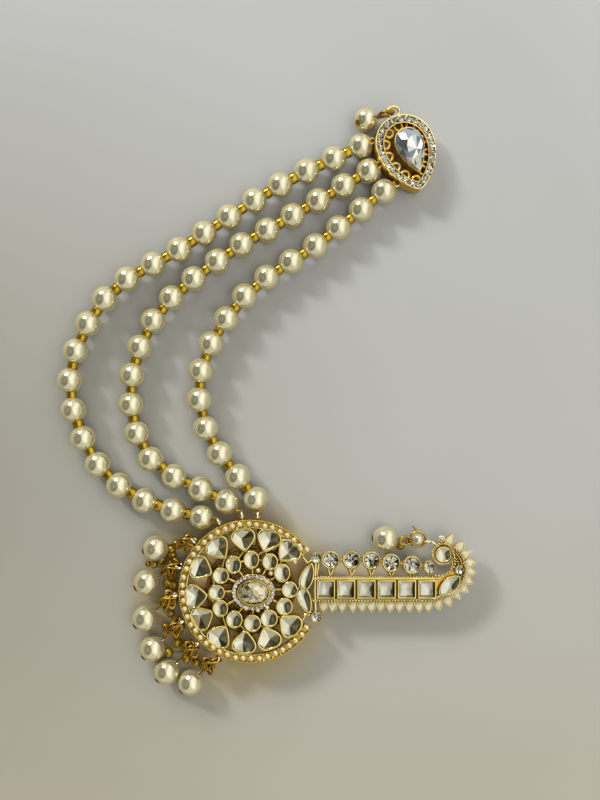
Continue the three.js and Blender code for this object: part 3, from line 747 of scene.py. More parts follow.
oval = {"x": 1.1, "y": -0.3, "width": 9.5, "depth": 7.1, "low": 6.0, "floor": 7.5, "top": 9.0, "wall": 0.3,
        "girdle": 0.3, "crown": 1.4, "table": 0.42, "gemHeight": 8.5,
        "haloWidth": 12.4, "haloDepth": 10.2, "haloEdge": 1.3, "haloCount": 28, "haloGem": 0.66,
        "haloTop": 7.6, "haloHeight": 8.05}
haloPlate = cutOut(ovalPoints(oval["haloWidth"] + oval["haloEdge"], oval["haloDepth"] + oval["haloEdge"], 48),
                   oval["low"], oval["haloTop"])
bpy.ops.mesh.inset(thickness=0.2 * mm, depth=0.12 * mm)
closeEdit()
softEdges(haloPlate, 0.08)
smooth(haloPlate)
cupGrowth = 2 * oval["wall"] + 0.1
ovalCup = makeCup(ovalPoints(oval["width"] + cupGrowth, oval["depth"] + cupGrowth, 48),
                  oval["low"], oval["floor"], oval["top"], oval["wall"])
for bit in (haloPlate, ovalCup):
    bit.data.transform(at(oval["x"], oval["y"]))
dress(paleTopShadedSides([haloPlate, ovalCup]), "oval_setting", None, "gold_metal", "setting")

haloPlaces = [at(oval["x"] + x, oval["y"] + y, oval["haloHeight"], random.uniform(0, 90))
              for x, y in ovalPoints(oval["haloWidth"], oval["haloDepth"], oval["haloCount"])]
haloGem = makeStar(oval["haloGem"], gemThick, 5)
dress(starCopies(haloGem, haloPlaces), "oval_halo_gems", None, "clear_stone", "setting")
discard(haloGem)

ovalGem = makeCutGem(ovalPoints(oval["width"], oval["depth"], 14), -gemThick, oval["girdle"], oval["crown"],
                     oval["table"], [champagneFoil, silverFoil, champagneFoil, silverFoil, paintedShadeFoil])
ovalGem.data.transform(at(oval["x"], oval["y"], oval["gemHeight"]))
dress(ovalGem, "oval_gem", None, "clear_stone", "oval_stone")

dots = {"radius": 0.8, "foot": 0.5, "height": 7.6,
        "spots": [(2.6, 6.5), (6.6, 5.6), (2.5, -6.0), (-1.2, -5.4), (5.4, -5.2), (-6.9, 9.2), (14.2, 9.2)]}
dot = makeFootedBead(dots["radius"], 16, 10, dots["foot"], 0.3, dots["foot"])
dotPlaces = [at(x, y, dots["height"]) for x, y in dots["spots"]]
dress(copies(dot, dotPlaces), "medallion_dots", seedPearl, "pearl", "setting")
print("oval done")


# the plume arm

arm = {"from": 20.3, "bottom": -3.45, "top": 4.0, "low": 6.0, "floor": 6.9, "cupFloor": 7.2, "cupTop": 8.2}
curl = {"x": 60.1, "y": 7.0, "radius": 8.4}


def curlPoint(angle, reach):
    return onCircle(angle, reach, curl["x"], curl["y"])


outerEdge = [(56.5, arm["bottom"]), (60.6, -2.2)] + [curlPoint(a, curl["radius"]) for a in range(-62, 99, 8)]
innerEdge = rounded([(60.2, 14.2), (64.6, 12.2), (64.9, 8.4), (62.4, 5.0), (58.6, 4.0)], closed=False)
armOutline = [(arm["from"], arm["bottom"])] + outerEdge + innerEdge + [(arm["from"], arm["top"])]
armBase = cutOut(armOutline, arm["low"], arm["floor"])
closeEdit()
softEdges(armBase, 0.1)
smooth(armBase)
armBase.data.transform(at(0, 0))
dress(armBase, "arm_base", amberGold, "gold_metal", "setting")
armGold = []

square = {"size": 4.9, "pitch": 6.4, "count": 6, "x": 23.9, "y": 0.6, "wall": 0.5, "thick": 0.75,
          "gemHeight": 7.45, "slope": 0.25, "edgeDrop": 0.26, "hollow": 0.2}
half = square["size"] / 2 + square["wall"]
squareCup = makeCup([(-half, -half), (half, -half), (half, half), (-half, half)],
                    arm["low"], arm["cupFloor"], arm["cupTop"], square["wall"])
squareGem = startFrom("grid", x_subdivisions=16, y_subdivisions=16, size=square["size"] * mm)
openFaces(squareGem)
pull(square["thick"])
closeEdit()
halfGem = square["size"] / 2 * mm
for corner in squareGem.data.vertices:
    if corner.co.z > 0.1 * mm:
        u, v = corner.co.x / halfGem, corner.co.y / halfGem
        edge = min(1.0, (1 - max(abs(u), abs(v))) / square["slope"])
        dip = (1 - u * u) * (1 - v * v) * (1 + 0.7 * u - 0.4 * v)
        corner.co.z -= (square["edgeDrop"] * edge + square["hollow"] * dip) * mm
smooth(squareGem, 16)
for i in range(square["count"]):
    x = square["x"] + i * square["pitch"]
    armGold += copies(squareCup, [at(x, square["y"])], keep=True)
    gem = copies(squareGem, [at(x, square["y"], square["gemHeight"], random.uniform(-9, 9))], keep=True)
    middle = spotOf(x, square["y"], 0)
    shadeRight, shadeLow = random.uniform(0.66, 0.8) * halfGem, random.uniform(0.7, 0.86) * halfGem
    # painted shade: the facets along the right and bottom edges get the dark foil
    twoTone(gem[0], paneFoil, paintedShadeFoil, lambda face: face.center.x - middle.x > shadeRight
            or middle.y - face.center.y > shadeLow)
    dress(gem, "square_gem_" + str(i + 1), None, "clear_stone", "square_stone_" + str(i + 1))
discard(squareCup, squareGem)

rails = {"topY": 4.05, "topHeight": 7.7, "topRadius": 0.56, "lowY": -2.75, "lowHeight": 7.5, "lowRadius": 0.4,
         "curlInset": 0.65, "innerHeight": 7.8, "innerRadius": 0.36}
armGold.append(wireThrough([(x, rails["topY"], rails["topHeight"]) for x in (19.6, 30, 40, 50, 58.4)],
                           rails["topRadius"]))
lowRail = [(x, rails["lowY"]) for x in (19.6, 30, 40, 50, 56.6)] + [(60.4, -1.6)]
lowRail += [curlPoint(a, curl["radius"] - rails["curlInset"]) for a in range(-60, 96, 6)]
armGold.append(wireThrough([(x, y, rails["lowHeight"]) for x, y in lowRail], rails["lowRadius"]))
innerLine = rounded([(58.4, 4.05), (61.0, 4.6), (63.4, 6.6), (63.9, 8.6), (63.6, 10.2)], closed=False)
armGold.append(wireThrough([(x, y, rails["innerHeight"]) for x, y in innerLine], rails["innerRadius"]))


# beaded lines along the leaf edge, the upper rail and the curl, each with its count, height and bead size

def beadRow(line, count, height, size):
    return [at(p.x, p.y, height, 0, size) for p in evenly(line, count, closed=False)]


beadedEdge = [(20.0, -3.05), (56.4, -3.05), (60.5, -1.85)] + [curlPoint(a, 8.0) for a in range(-60, 96, 4)]
innerBeads = rounded([(58.6, 4.9), (61.6, 5.1), (64.2, 7.0), (64.8, 9.4), (64.4, 11.4)], closed=False)
grainSpots = beadRow(beadedEdge, 70, 7.9, (1.4, 1.4, 1.4))
grainSpots += [at(20.6 + 0.86 * k, 4.6, 7.85, 0, (1.2, 1.2, 1.2)) for k in range(44)]
grainSpots += beadRow(innerBeads, 12, 8.05, (1.5, 1.5, 1.5))
for reach, first, last, count in ((7.0, -34, 92, 22), (5.9, -38, 74, 14)):  # rope lines that fill the curl
    arc = [curlPoint(a, reach) for a in range(first, last + 1, 2)]
    grainSpots += beadRow(arc, count, 7.2, (1.65, 1.65, 1.9))
armBeads = copies(grain, grainSpots, keep=True)

marquise = {"x": 63.0, "y": 1.8, "length": 7.4, "width": 4.1, "turn": 42, "point": 1.4, "cupGrowth": 1.2,
            "wall": 0.42, "gemLow": 7.3, "brim": 8.12, "depth": 0.42}
boat = [(marquise["length"] / 2 * math.cos(t),
         marquise["width"] / 2 * math.copysign(abs(math.sin(t)) ** marquise["point"], math.sin(t)))
        for t in evenAngles(20)]
boatPlace = at(marquise["x"], marquise["y"], 0, marquise["turn"])
boatCup = makeCup(grown(boat, marquise["cupGrowth"]),
                  arm["low"], arm["cupFloor"], arm["cupTop"], marquise["wall"])
boatCup.data.transform(boatPlace)
armGold.append(boatCup)
boatGem = makeHollowGem(boat, marquise["gemLow"], marquise["brim"], marquise["depth"])
boatGem.data.transform(boatPlace)
dress(boatGem, "marquise_gem", paneFoil, "clear_stone", "marquise_stone")

tip = {"x": 61.0, "y": 11.7, "radius": 2.15, "wall": 0.36, "floor": 7.4, "top": 8.5, "depth": 0.55,
       "gemHeight": 8.4, "beadWidth": 6.9, "beadHeight": 7.7, "wireWidth": 6.2, "wireHeight": 7.6}
cupWidth, gemWidth = 2 * (tip["radius"] + tip["wall"]), 2 * tip["radius"]
tipCup = makeCup(ovalPoints(cupWidth, cupWidth, 32), arm["low"], tip["floor"], tip["top"], tip["wall"])
tipCup.data.transform(at(tip["x"], tip["y"]))
armGold.append(tipCup)
tipGem = makeHollowGem(ovalPoints(gemWidth, gemWidth, 32), -gemThick, 0, tip["depth"])
tipGem.data.transform(at(tip["x"], tip["y"], tip["gemHeight"]))
dress(tipGem, "tip_gem", silverFoil, "clear_stone", "tip_stone")
armBeads += copies(grain, [at(tip["x"] + x, tip["y"] + y, tip["beadHeight"], 0, (1.2, 1.2, 1.2))
                           for x, y in ovalPoints(tip["beadWidth"], tip["beadWidth"], 30)], keep=True)
armGold.append(wire([spotOf(tip["x"] + x, tip["y"] + y, tip["wireHeight"])
                     for x, y in ovalPoints(tip["wireWidth"], tip["wireWidth"], 36)], 0.3, closed=True))

# round brilliants along the upper edge, each (x, y, size) in its own collar on a stem
upperRow = {"spots": [(21.0, 10.6, 1.8), (25.4, 9.95, 2.82), (32.1, 9.95, 2.82), (38.3, 9.8, 2.82),
                      (44.6, 9.0, 2.82), (51.1, 8.4, 2.82), (56.6, 7.75, 1.95), (20.9, -8.1, 1.8),
                      (66.0, 6.8, 1.45)],
            "stemmed": 7, "modelSize": 2.65, "gem": 2.02, "gemHeight": 8.3, "stem": 0.46, "stemHeight": 7.2,
            "stemFoot": 4.1, "link": 0.7, "linkHeight": 7.3,
            "profile": [(0, 6.0), (2.55, 6.0), (2.78, 6.5), (2.85, 7.6), (2.76, 8.2),
                        (2.5, 8.5), (2.22, 8.42), (2.06, 8.15), (2.0, 6.9), (0, 6.9)]}
collar = turnedPiece(upperRow["profile"], 32)
softEdges(collar, 0.06)
smooth(collar)
chaton = makeStar(upperRow["gem"], 0.8)
chatons, collars = [], []
for x, y, size in upperRow["spots"]:
    share = size / upperRow["modelSize"]
    collars += copies(collar, [at(x, y, 0, 0, (share, share, 1))], keep=True)
    place = at(x, y, upperRow["gemHeight"], random.uniform(0, 45), (share, share, share))
    chatons += starCopies(chaton, [place])
discard(collar, chaton)
dress(chatons, "arm_chatons", None, "clear_stone", "setting")
dress(paleTopShadedSides(collars, leafGold, paleGold), "arm_collars", None, "gold_metal", "setting")
stemmed = upperRow["spots"][:upperRow["stemmed"]]
for x, y, size in stemmed:
    for lean in (-0.42, 0.42):
        bend = [(x + lean * size, y - 0.82 * size), (x + 0.6 * lean, (y - size + 4.2) / 2),
                (x + 0.3 * lean, upperRow["stemFoot"])]
        stem = [(px, py, upperRow["stemHeight"]) for px, py in rounded(bend, closed=False)]
        armGold.append(wireThrough(stem, upperRow["stem"]))
armLinks = []
for (ax, ay, aSize), (bx, by, bSize) in zip(stemmed, stemmed[1:]):
    run = Vector((bx - ax, by - ay)).normalized()
    begin, end = Vector((ax, ay)) + run * 0.95 * aSize, Vector((bx, by)) - run * 0.95 * bSize
    link = [(*begin, upperRow["linkHeight"]), (*end, upperRow["linkHeight"])]
    armLinks.append(wireThrough(link, upperRow["link"]))
dress(armLinks, "arm_links", amberGold, "gold_metal", "setting")
armGold.append(wireThrough([(18.2, -6.2, 7.0), (20.9, -8.1, 7.0)], 0.6))
armGold.append(wireThrough([(18.5, 8.5, 7.0), (21.0, 10.6, 7.0)], 0.6))

leaf = {"low": 6.3, "top": 7.3, "edge": 0.28, "sink": 0.25, "fillShare": 0.8, "fillShift": -0.3,
        "first": 23.3, "pitch": 3.02, "count": 12, "sway": 4,
        "corner": [(59.2, -2.95, 14), (62.0, -1.85, 26)],
        "curlReach": 8.1, "curlAngles": (-57, -41, -24, -7.5, 9.5, 28, 48, 71),
        "shape": [(-1.3, 0.5), (-1.56, -0.4), (-1.5, -1.2), (-1.05, -2.3), (0, -3.6),
                  (1.05, -2.3), (1.5, -1.2), (1.56, -0.4), (1.3, 0.5)]}
leafPlate = cutOut(leaf["shape"], leaf["low"], leaf["top"])
bpy.ops.mesh.inset(thickness=leaf["edge"] * mm)
pull(-leaf["sink"])
closeEdit()
softEdges(leafPlate, 0.06)
smooth(leafPlate)
leafFill = cutOut(grown(leaf["shape"], leaf["fillShare"]), leaf["top"] - 0.4, leaf["top"] - 0.1)
bpy.ops.mesh.inset(thickness=0.35 * mm, depth=0.16 * mm)  # the enamel is crowned
bpy.ops.mesh.inset(thickness=0.3 * mm, depth=0.05 * mm)
closeEdit()
softEdges(leafFill, 0.08, 2, 15)
smooth(leafFill, 60)
leafFill.data.transform(moved(0, leaf["fillShift"], 0))
leafPlaces = [at(leaf["first"] + leaf["pitch"] * i, arm["bottom"], 0,
                 random.uniform(-leaf["sway"], leaf["sway"])) for i in range(leaf["count"])]
leafPlaces += [at(x, y, 0, turn) for x, y, turn in leaf["corner"]]
for angle in leaf["curlAngles"]:
    turn = angle + 90 + random.uniform(-leaf["sway"], leaf["sway"])
    leafPlaces.append(at(*curlPoint(angle, leaf["curlReach"]), 0, turn))
dress(copies(leafPlate, leafPlaces), "leaf_edges", leafGold, "gold_metal", "setting")
dress(armBeads, "arm_milgrain", leafGold, "gold_metal", "setting")
dress(copies(leafFill, leafPlaces), "leaf_enamel", creamEnamel, "cream_enamel", "setting")
dress(paleTopShadedSides(armGold), "arm_gold", None, "gold_metal", "setting")
print("arm done")


# loops, rings and pearl drops

loop = {"radius": 1.1, "wire": 0.45, "height": 6.8, "reach": 23.9,
        "angles": [114.2, 96, 84, 138.1, 160.8, 183.1, 204, 224.9, 244.1],
        "tip": (56.3, 15.5, 6.2), "small": (60.6, 16.4)}
loopRing = makeRing(loop["radius"], loop["wire"])
loopPlaces = [ringPlace(loop["reach"], angle, loop["height"])
              @ Matrix.Rotation(random.uniform(1.1, 1.5), 4, "Y")  # they stand nearly on edge
              for angle in loop["angles"]]
loopPlaces.append(at(*loop["tip"]) @ Matrix.Rotation(math.radians(90), 4, "X"))
loopPlaces.append(at(*loop["small"], 7.0, 0, (0.75, 0.75, 1)))
loops = copies(loopRing, loopPlaces)
loops.append(wireThrough([(57.3, 15.5, 6.6), (59.8, 13.8, 6.9)], 0.5))
loops += copies(grain, [at(*loop["small"], 7.2, 0, (2.3, 2.3, 2.3))])
dress(loops, "rim_loops", whiteGold, "gold_metal", "setting")

pearl = {"radius": 4.08, "height": 4.1, "pole": 0.975, "dimple": (0.9, 0.9, 0.93)}
pearlBead = startFrom("uv_sphere", segments=40, ring_count=24, radius=pearl["radius"] * mm)
openFaces(pearlBead, lambda face: abs(face.calc_center_median().z) > pearl["pole"] * pearl["radius"] * mm)
bpy.ops.mesh.inset(thickness=0.0)
bpy.ops.transform.resize(value=pearl["dimple"], center_override=(0, 0, 0))  # the drilled ends
closeEdit()
smooth(pearlBead, 60)
upward = Vector((0, 0, 1))

pin = {"eye": 1.0, "eyeWire": 0.3, "entry": 3.95, "shank": 0.4, "shankEnd": 4.2, "head": 4.22,
       "wrap": 0.58, "wrapWire": 0.25, "wrapPoints": 31, "wrapPitch": 0.045,
       "disc": [(0, -0.18), (0.95, -0.18), (1.08, 0), (0.95, 0.18), (0, 0.18)]}


def eyePin(eyeCentre, heading, centre, eyeAxis, lie):  # eye, shank, wrap and the disc under the pearl
    bits = copies(makeRing(pin["eye"], pin["eyeWire"]), [aimed(eyeCentre, eyeAxis)])
    back = eyeCentre + heading * pin["eye"] * mm
    entry = centre - lie * pin["entry"] * mm
    bits.append(wire([back, entry, centre], pin["eyeWire"]))
    run = (entry - back).normalized()
    side = run.orthogonal().normalized()
    other = run.cross(side)
    wrap = []
    for k in range(pin["wrapPoints"]):
        turn = 2 * math.pi * k / 12
        coil = side * math.cos(turn) + other * math.sin(turn)
        wrap.append(back + run * pin["wrapPitch"] * k * mm + coil * pin["wrap"] * mm)
    bits.append(wire(wrap, pin["wrapWire"]))
    bits += copies(turnedPiece(pin["disc"], 20), [aimed(centre + lie * pin["head"] * mm, lie)])
    bits.append(wire([centre, centre + lie * pin["shankEnd"] * mm], pin["shank"]))
    return bits


def pearlDrop(name, centre, lie, scale, node):
    dress(copies(pearlBead, [aimed(centre, lie, scale)], keep=True), name, ivoryPearl, "pearl", node)


# the fringe: each drop's angle on the rim and its pearl's place, and how the four rings of a cluster lean
fringe = {"drops": [(138.1, -30.3, 13.0), (160.8, -33.2, 2.1), (183.1, -33.7, -9.4), (204.0, -31.3, -19.0),
                    (224.9, -26.8, -26.4), (244.1, -19.2, -30.0)],
          "clusterReach": 2.9, "eyeReach": 3.2, "rise": 0.02, "ringWire": 0.42,
          "leans": ((52, 0.1), (-40, -0.35), (8, 0.7), (80, -0.5))}
ringCentres = []
for i, (angle, x, y) in enumerate(fringe["drops"]):
    loopCentre = ringSpot(loop["reach"], angle, loop["height"])
    centre = spotOf(x, y, pearl["height"])
    heading = levelHeading(loopCentre, centre)
    side = leftOf(heading)
    ringCentre = loopCentre + heading * fringe["clusterReach"] * mm
    ringCentres.append(ringCentre)
    rings = []
    for lean, twist in fringe["leans"]:
        lean = math.radians(lean + random.uniform(-16, 16))
        twist += random.uniform(-0.25, 0.25)
        axis = side * math.cos(lean) + upward * math.sin(lean) + heading * twist
        shift = heading * random.uniform(-1.0, 0.7) + side * random.uniform(-0.7, 0.7)
        squash = (random.uniform(1.0, 1.25), random.uniform(0.5, 0.75), 0.8)
        ring = makeRing(random.uniform(2.0, 2.6), fringe["ringWire"])
        rings += copies(ring, [aimed(ringCentre + shift * mm, axis, squash)])
    number, node = str(i + 1), "fringe_drop_" + str(i + 1)
    dress(rings, "fringe_jump_" + number, ringBrass, "gold_metal", "fringe_ring_" + number)
    eyeCentre = loopCentre + heading * fringe["eyeReach"] * mm
    lie = (heading + upward * fringe["rise"]).normalized()
    pearlDrop("fringe_pearl_" + number, centre, lie, (1, 1, 1), node)
    dress(eyePin(eyeCentre, heading, centre, upward, lie),
          "fringe_pin_" + number, ringBrass, "gold_metal", node)

honey = {"radius": 1.6, "flatten": 0.88, "wire": 0.17, "bow": 0.5, "tail": 1.3,
         "spots": [(-23.8, 14.2), (-26.9, 4.6), (-26.6, 1.4), (-28.0, -4.9), (-25.6, -8.2), (-23.3, -13.7),
                   (-23.6, -17.4), (-20.6, -22.4), (-15.2, -24.6), (-17.6, -23.6), (-25.4, 10.6),
                   (-25.0, -4.2), (-24.9, 4.2), (-24.6, 1.0), (-22.4, -12.4), (-25.3, 12.6),
                   (-24.3, 8.6), (-21.2, -18.8), (-27.2, -12.2), (-28.6, 9.0), (-26.2, -20.4)],
         "goldBead": (-33.0, 7.8, 3.0), "goldWireBend": (-28.4, 6.8, 4.6), "clearBead": (-31.0, 7.6, 3.2)}
seedDrop = startFrom("uv_sphere", segments=16, ring_count=10, radius=honey["radius"] * mm)
openFaces(seedDrop)
bpy.ops.transform.resize(value=(1, 1, honey["flatten"]), center_override=(0, 0, 0))
closeEdit()
smooth(seedDrop, 60)


def seedCopy(place):
    return copies(seedDrop, [place], keep=True)


honeyBeads, honeyWires = [], []
for x, y in honey["spots"]:
    spot = spotOf(x, y, random.uniform(2.6, 3.8))
    near = min(ringCentres, key=lambda place: (place - spot).length)
    heading = (near - spot).normalized()
    size = random.uniform(0.85, 1.08)
    honeyBeads.append(aimed(spot, heading, (size, size, size)))
    bow = (spot + near) / 2 + upward * honey["bow"] * mm
    honeyWires.append(wire([spot - heading * honey["tail"] * mm, spot, bow, near], honey["wire"]))
dress(copies(seedDrop, honeyBeads, keep=True), "fringe_beads", honeyGlass, "clear_stone")
dress(honeyWires, "fringe_bead_wires", ringBrass, "gold_metal")
strayBeads = seedCopy(at(*honey["goldBead"], 0, (0.62, 0.62, 0.7)))
strayBeads.append(wire([spotOf(*honey["goldBead"]), spotOf(*honey["goldWireBend"]), ringCentres[1]], 0.2))
dress(strayBeads, "fringe_gold_bead", ringBrass, "gold_metal")
dress(seedCopy(at(*honey["clearBead"], 0, (0.8, 0.8, 0.9))), "fringe_clear_bead", honeyGlass, "clear_stone")
print("fringe done")

# the pearl on a flat ring at the arm's tip
tipDrop = {"pearl": (43.1, 16.0, 4.2), "scale": (1.025, 1.025, 1.025), "ringReach": 3.1, "ringAside": 0.5,
           "ring": 2.5, "ringWire": 0.4, "eyeReach": 5.0, "linkWire": 0.34, "endWire": 0.3,
           "link": [(0.2, -1.3), (3.8, -1.3), (3.8, 1.3), (0.2, 1.3)],
           "wireEnd": [(0.3, -2.5), (0.9, -3.2), (1.9, -4.2)], "honeyBead": (48.0, 13.6, 3.2)}
tipLoop, tipPearl = spotOf(*loop["tip"]), spotOf(*tipDrop["pearl"])
tipHeading = levelHeading(tipLoop, tipPearl)
tipSide = leftOf(tipHeading)
tipRing = tipLoop + tipHeading * tipDrop["ringReach"] * mm - tipSide * tipDrop["ringAside"] * mm
tipEye = tipLoop + tipHeading * tipDrop["eyeReach"] * mm


def tipSpot(start, along, aside):
    return start + tipHeading * along * mm + tipSide * aside * mm


dress(copies(makeRing(tipDrop["ring"], tipDrop["ringWire"]), [aimed(tipRing, upward)]),
      "tip_flat_ring", oliveBrass, "gold_metal", "tip_ring")
pearlDrop("tip_pearl", tipPearl, tipHeading, tipDrop["scale"], "tip_drop")
dress(eyePin(tipEye, tipHeading, tipPearl, tipSide, tipHeading),
      "tip_pin", ringBrass, "gold_metal", "tip_drop")
tipBead = seedCopy(aimed(tipRing + upward * 0.2 * mm, tipSide, (1.15, 1.15, 1.3)))
dress(tipBead, "tip_bead", ivoryPearl, "pearl")
boxLink = wire([tipSpot(tipEye, x, y) for x, y in rounded(tipDrop["link"])], tipDrop["linkWire"], closed=True)
dress(boxLink, "tip_link", oliveBrass, "gold_metal", "tip_drop")
tail = wire([tipSpot(tipRing, x, y) for x, y in tipDrop["wireEnd"]], tipDrop["endWire"])
dress(tail, "tip_wire_end", oliveBrass, "gold_metal", "tip_ring")
dress(seedCopy(at(*tipDrop["honeyBead"], 0, (0.85, 0.85, 0.85))), "tip_honey_bead", honeyGlass, "clear_stone")
discard(seedDrop)
print("tip drop done")


# the strings of pearls

def throughPoints(route):  # a smooth line through the points, with root-length knots
    perSpan = 60
    pts = [Vector((x, y)) for x, y in route]
    pts = [2 * pts[0] - pts[1]] + pts + [2 * pts[-1] - pts[-2]]
    line = []
    for p0, p1, p2, p3 in zip(pts, pts[1:], pts[2:], pts[3:]):
        d0, d1, d2 = (math.sqrt((b - a).length) for a, b in ((p0, p1), (p1, p2), (p2, p3)))
        t1 = ((p1 - p0) / d0 - (p2 - p0) / (d0 + d1) + (p2 - p1) / d1) * d1
        t2 = ((p2 - p1) / d1 - (p3 - p1) / (d1 + d2) + (p3 - p2) / d2) * d1
        for k in range(perSpan):
            t = k / perSpan
            line.append(p1 + t1 * t + (3 * (p2 - p1) - 2 * t1 - t2) * t * t
                        + (2 * (p1 - p2) + t1 + t2) * t ** 3)
    return line + [pts[-2]]


# each string's pearls, the rim loop and the frame angle that hold it, and its route
strings = {
    "outer": {"pearls": 21, "loop": 114.2, "endLoop": 236,
              "route": [(35.3, 141.5), (10.7, 129.8), (-22, 109), (-46, 93.4), (-57.8, 67.1),
                        (-49.2, 40.2), (-33.8, 28.1), (-15.6, 22.9)]},
    "middle": {"pearls": 18, "loop": 96, "endLoop": 273,
               "route": [(37.8, 133.6), (14.5, 119.9), (-9.2, 105.8), (-30.3, 87), (-38.4, 64),
                         (-32.5, 42.2), (-7.6, 27.8)]},
    "inner": {"pearls": 15, "loop": 84, "endLoop": 308,
              "route": [(42.6, 127.1), (21.2, 110), (-1.8, 93.7), (-15.9, 69.7), (-14, 50.5), (1.7, 28.7)]},
}
endBrooch = {"x": 48.95, "y": 138.5, "z": 0.15, "turn": 19.0, "tilt": 10.0}
endPlace = (at(endBrooch["x"], endBrooch["y"], endBrooch["z"], endBrooch["turn"])
            @ Matrix.Rotation(math.radians(endBrooch["tilt"]), 4, "Y"))
endFrame = {"length": 24.8, "width": 19.6, "taper": 0.5, "bottom": 1.5, "top": 7.0,
            "loopHeight": 4.6, "loopOut": 0.5, "loop": 0.85, "loopWire": 0.38}


def endLoopPoint(degrees):  # where a string's loop stands on the end brooch's frame
    t, out, taper = math.radians(degrees), endFrame["loopOut"], endFrame["taper"]
    widest = max(pearSwell(s, taper) for s in evenAngles(24))
    return Vector(((endFrame["width"] / 2 + out) / widest * pearSwell(t, taper),
                   -(endFrame["length"] / 2 + out) * math.cos(t), endFrame["loopHeight"])) * mm


spacer = {"radius": 1.82, "length": 2.1, "gapless": 7.55, "soft": 0.42}
tube = startFrom("cylinder", vertices=24, radius=spacer["radius"] * mm, depth=spacer["length"] * mm)
openFaces(tube, lambda face: abs(face.normal.z) > 0.9)
bpy.ops.mesh.inset(thickness=0.55 * mm, depth=0.05 * mm)
bpy.ops.mesh.inset(thickness=0.3 * mm, depth=-0.5 * mm)
closeEdit()
softEdges(tube, spacer["soft"], 3)
smooth(tube, 60)

thread = {"eye": 1.0, "eyeWire": 0.26, "wire": 0.34}
for name, string in strings.items():
    line = throughPoints(string["route"])
    places = evenly(line, string["pearls"], closed=False)
    dense = evenly(line, 400, closed=False)
    beads, tubes, threads = [], [], []
    for k, place in enumerate(places):
        nearest = min(range(len(dense)), key=lambda j: (dense[j] - place).length)
        before, after = dense[max(nearest - 2, 0)], dense[min(nearest + 2, len(dense) - 1)]
        along = Vector((*(after - before), 0)).normalized()
        wobble = (random.uniform(-0.05, 0.05), random.uniform(-0.05, 0.05), random.uniform(-0.06, 0.06))
        size = random.uniform(0.985, 1.005)
        beads.append(aimed(spotOf(*place, pearl["height"]), (along + Vector(wobble)).normalized(),
                           (size * 1.01, size * 1.01, size)))
        if k:
            span = Vector((*(place - places[k - 1]), 0))
            middle = spotOf(*((place + places[k - 1]) / 2), pearl["height"])
            stretch = (span.length - spacer["gapless"]) / spacer["length"]
            girth = random.uniform(0.92, 1.06)
            tubes.append(aimed(middle, span.normalized(), (girth, girth, stretch)))
    dress(copies(pearlBead, beads, keep=True), name + "_pearls", ivoryPearl, "pearl", name + "_string")
    dress(copies(tube, tubes, keep=True), name + "_spacers", amberGlass, "gold_glass", name + "_string")
    rimEnd = ringSpot(loop["reach"], string["loop"], loop["height"])
    for last, target in ((places[-1], rimEnd), (places[0], endPlace @ endLoopPoint(string["endLoop"]))):
        centre = spotOf(*last, pearl["height"])
        heading = levelHeading(centre, target)
        axis = upward if target == rimEnd else leftOf(heading)
        eye = makeRing(thread["eye"], thread["eyeWire"])
        threads += copies(eye, [aimed(target - heading * thread["eye"] * mm, axis)])
        threads.append(wire([centre, target - heading * 2 * thread["eye"] * mm], thread["wire"]))
    dress(threads, name + "_thread_ends", ringBrass, "gold_metal", name + "_string")
discard(tube)
print("strings done")


# the end brooch, modelled flat and then leaned over

endBand = {"edge": 0.42, "channel": 1.8, "inner": 0.3, "slope": 0.1, "depth": 0.55,
           "gemCount": 25, "gem": 1.08, "gemInset": 2.6, "gemHeight": 7.12}
frameOutline = pearPoints(endFrame["length"], endFrame["width"], endFrame["taper"], 64)
endRim = cutOut(frameOutline, endFrame["bottom"], endFrame["top"])
halfWide, halfLong, inset = endFrame["width"] / 2, endFrame["length"] / 2, 0.0
for width, drop in ((endBand["edge"], 0), (endBand["slope"], endBand["depth"]), (endBand["channel"], 0),
                    (endBand["slope"], -endBand["depth"]), (endBand["inner"], 0),
                    (0.05, endFrame["top"] - endFrame["bottom"])):  # outer edge, channel, inner edge, skirt
    pull(-drop)
    shrink = [(side - inset - width) / (side - inset) for side in (halfWide, halfLong)]
    bpy.ops.transform.resize(value=(*shrink, 1), center_override=(0, 0, 0))
    inset += width
closeEdit()
openFaces(endRim, lambda face: abs(face.calc_center_median().z - endFrame["bottom"] * mm) < 0.05 * mm
          and abs(face.normal.z) > 0.9)
bpy.ops.mesh.delete(type="ONLY_FACE")
pickEdges(endRim, lambda edge: len(edge.link_faces) == 1)
bpy.ops.mesh.bridge_edge_loops()
bpy.ops.mesh.select_all(action="SELECT")
bpy.ops.mesh.normals_make_consistent(inside=False)
closeEdit()
softEdges(endRim, 0.08)
smooth(endRim)
endGold = [endRim]

# the table's sectors: which foil each shows as a painted reflection, from the right round
pear = {"x": 1.1, "y": 0.2, "length": 14.2, "width": 9.1, "taper": 0.85, "low": 4.2, "floor": 6.8, "top": 7.7,
        "wall": 0.3, "cupGrowth": 1.05, "girdle": 0.5, "crown": 2.2, "table": 0.55,
        "apexShift": (0.4, -0.9, 0),
        "tableReflections": (1, 2, 0, 1, 1, 0, 0, 2, 1, 0, 2, 1)}
pearOutline = pearPoints(pear["length"], pear["width"], pear["taper"], 48)
pearCup = makeCup(grown(pearOutline, pear["cupGrowth"]),
                  pear["low"], pear["floor"], pear["top"], pear["wall"])
pearCup.data.transform(moved(pear["x"], pear["y"], 0))
endGold.append(pearCup)

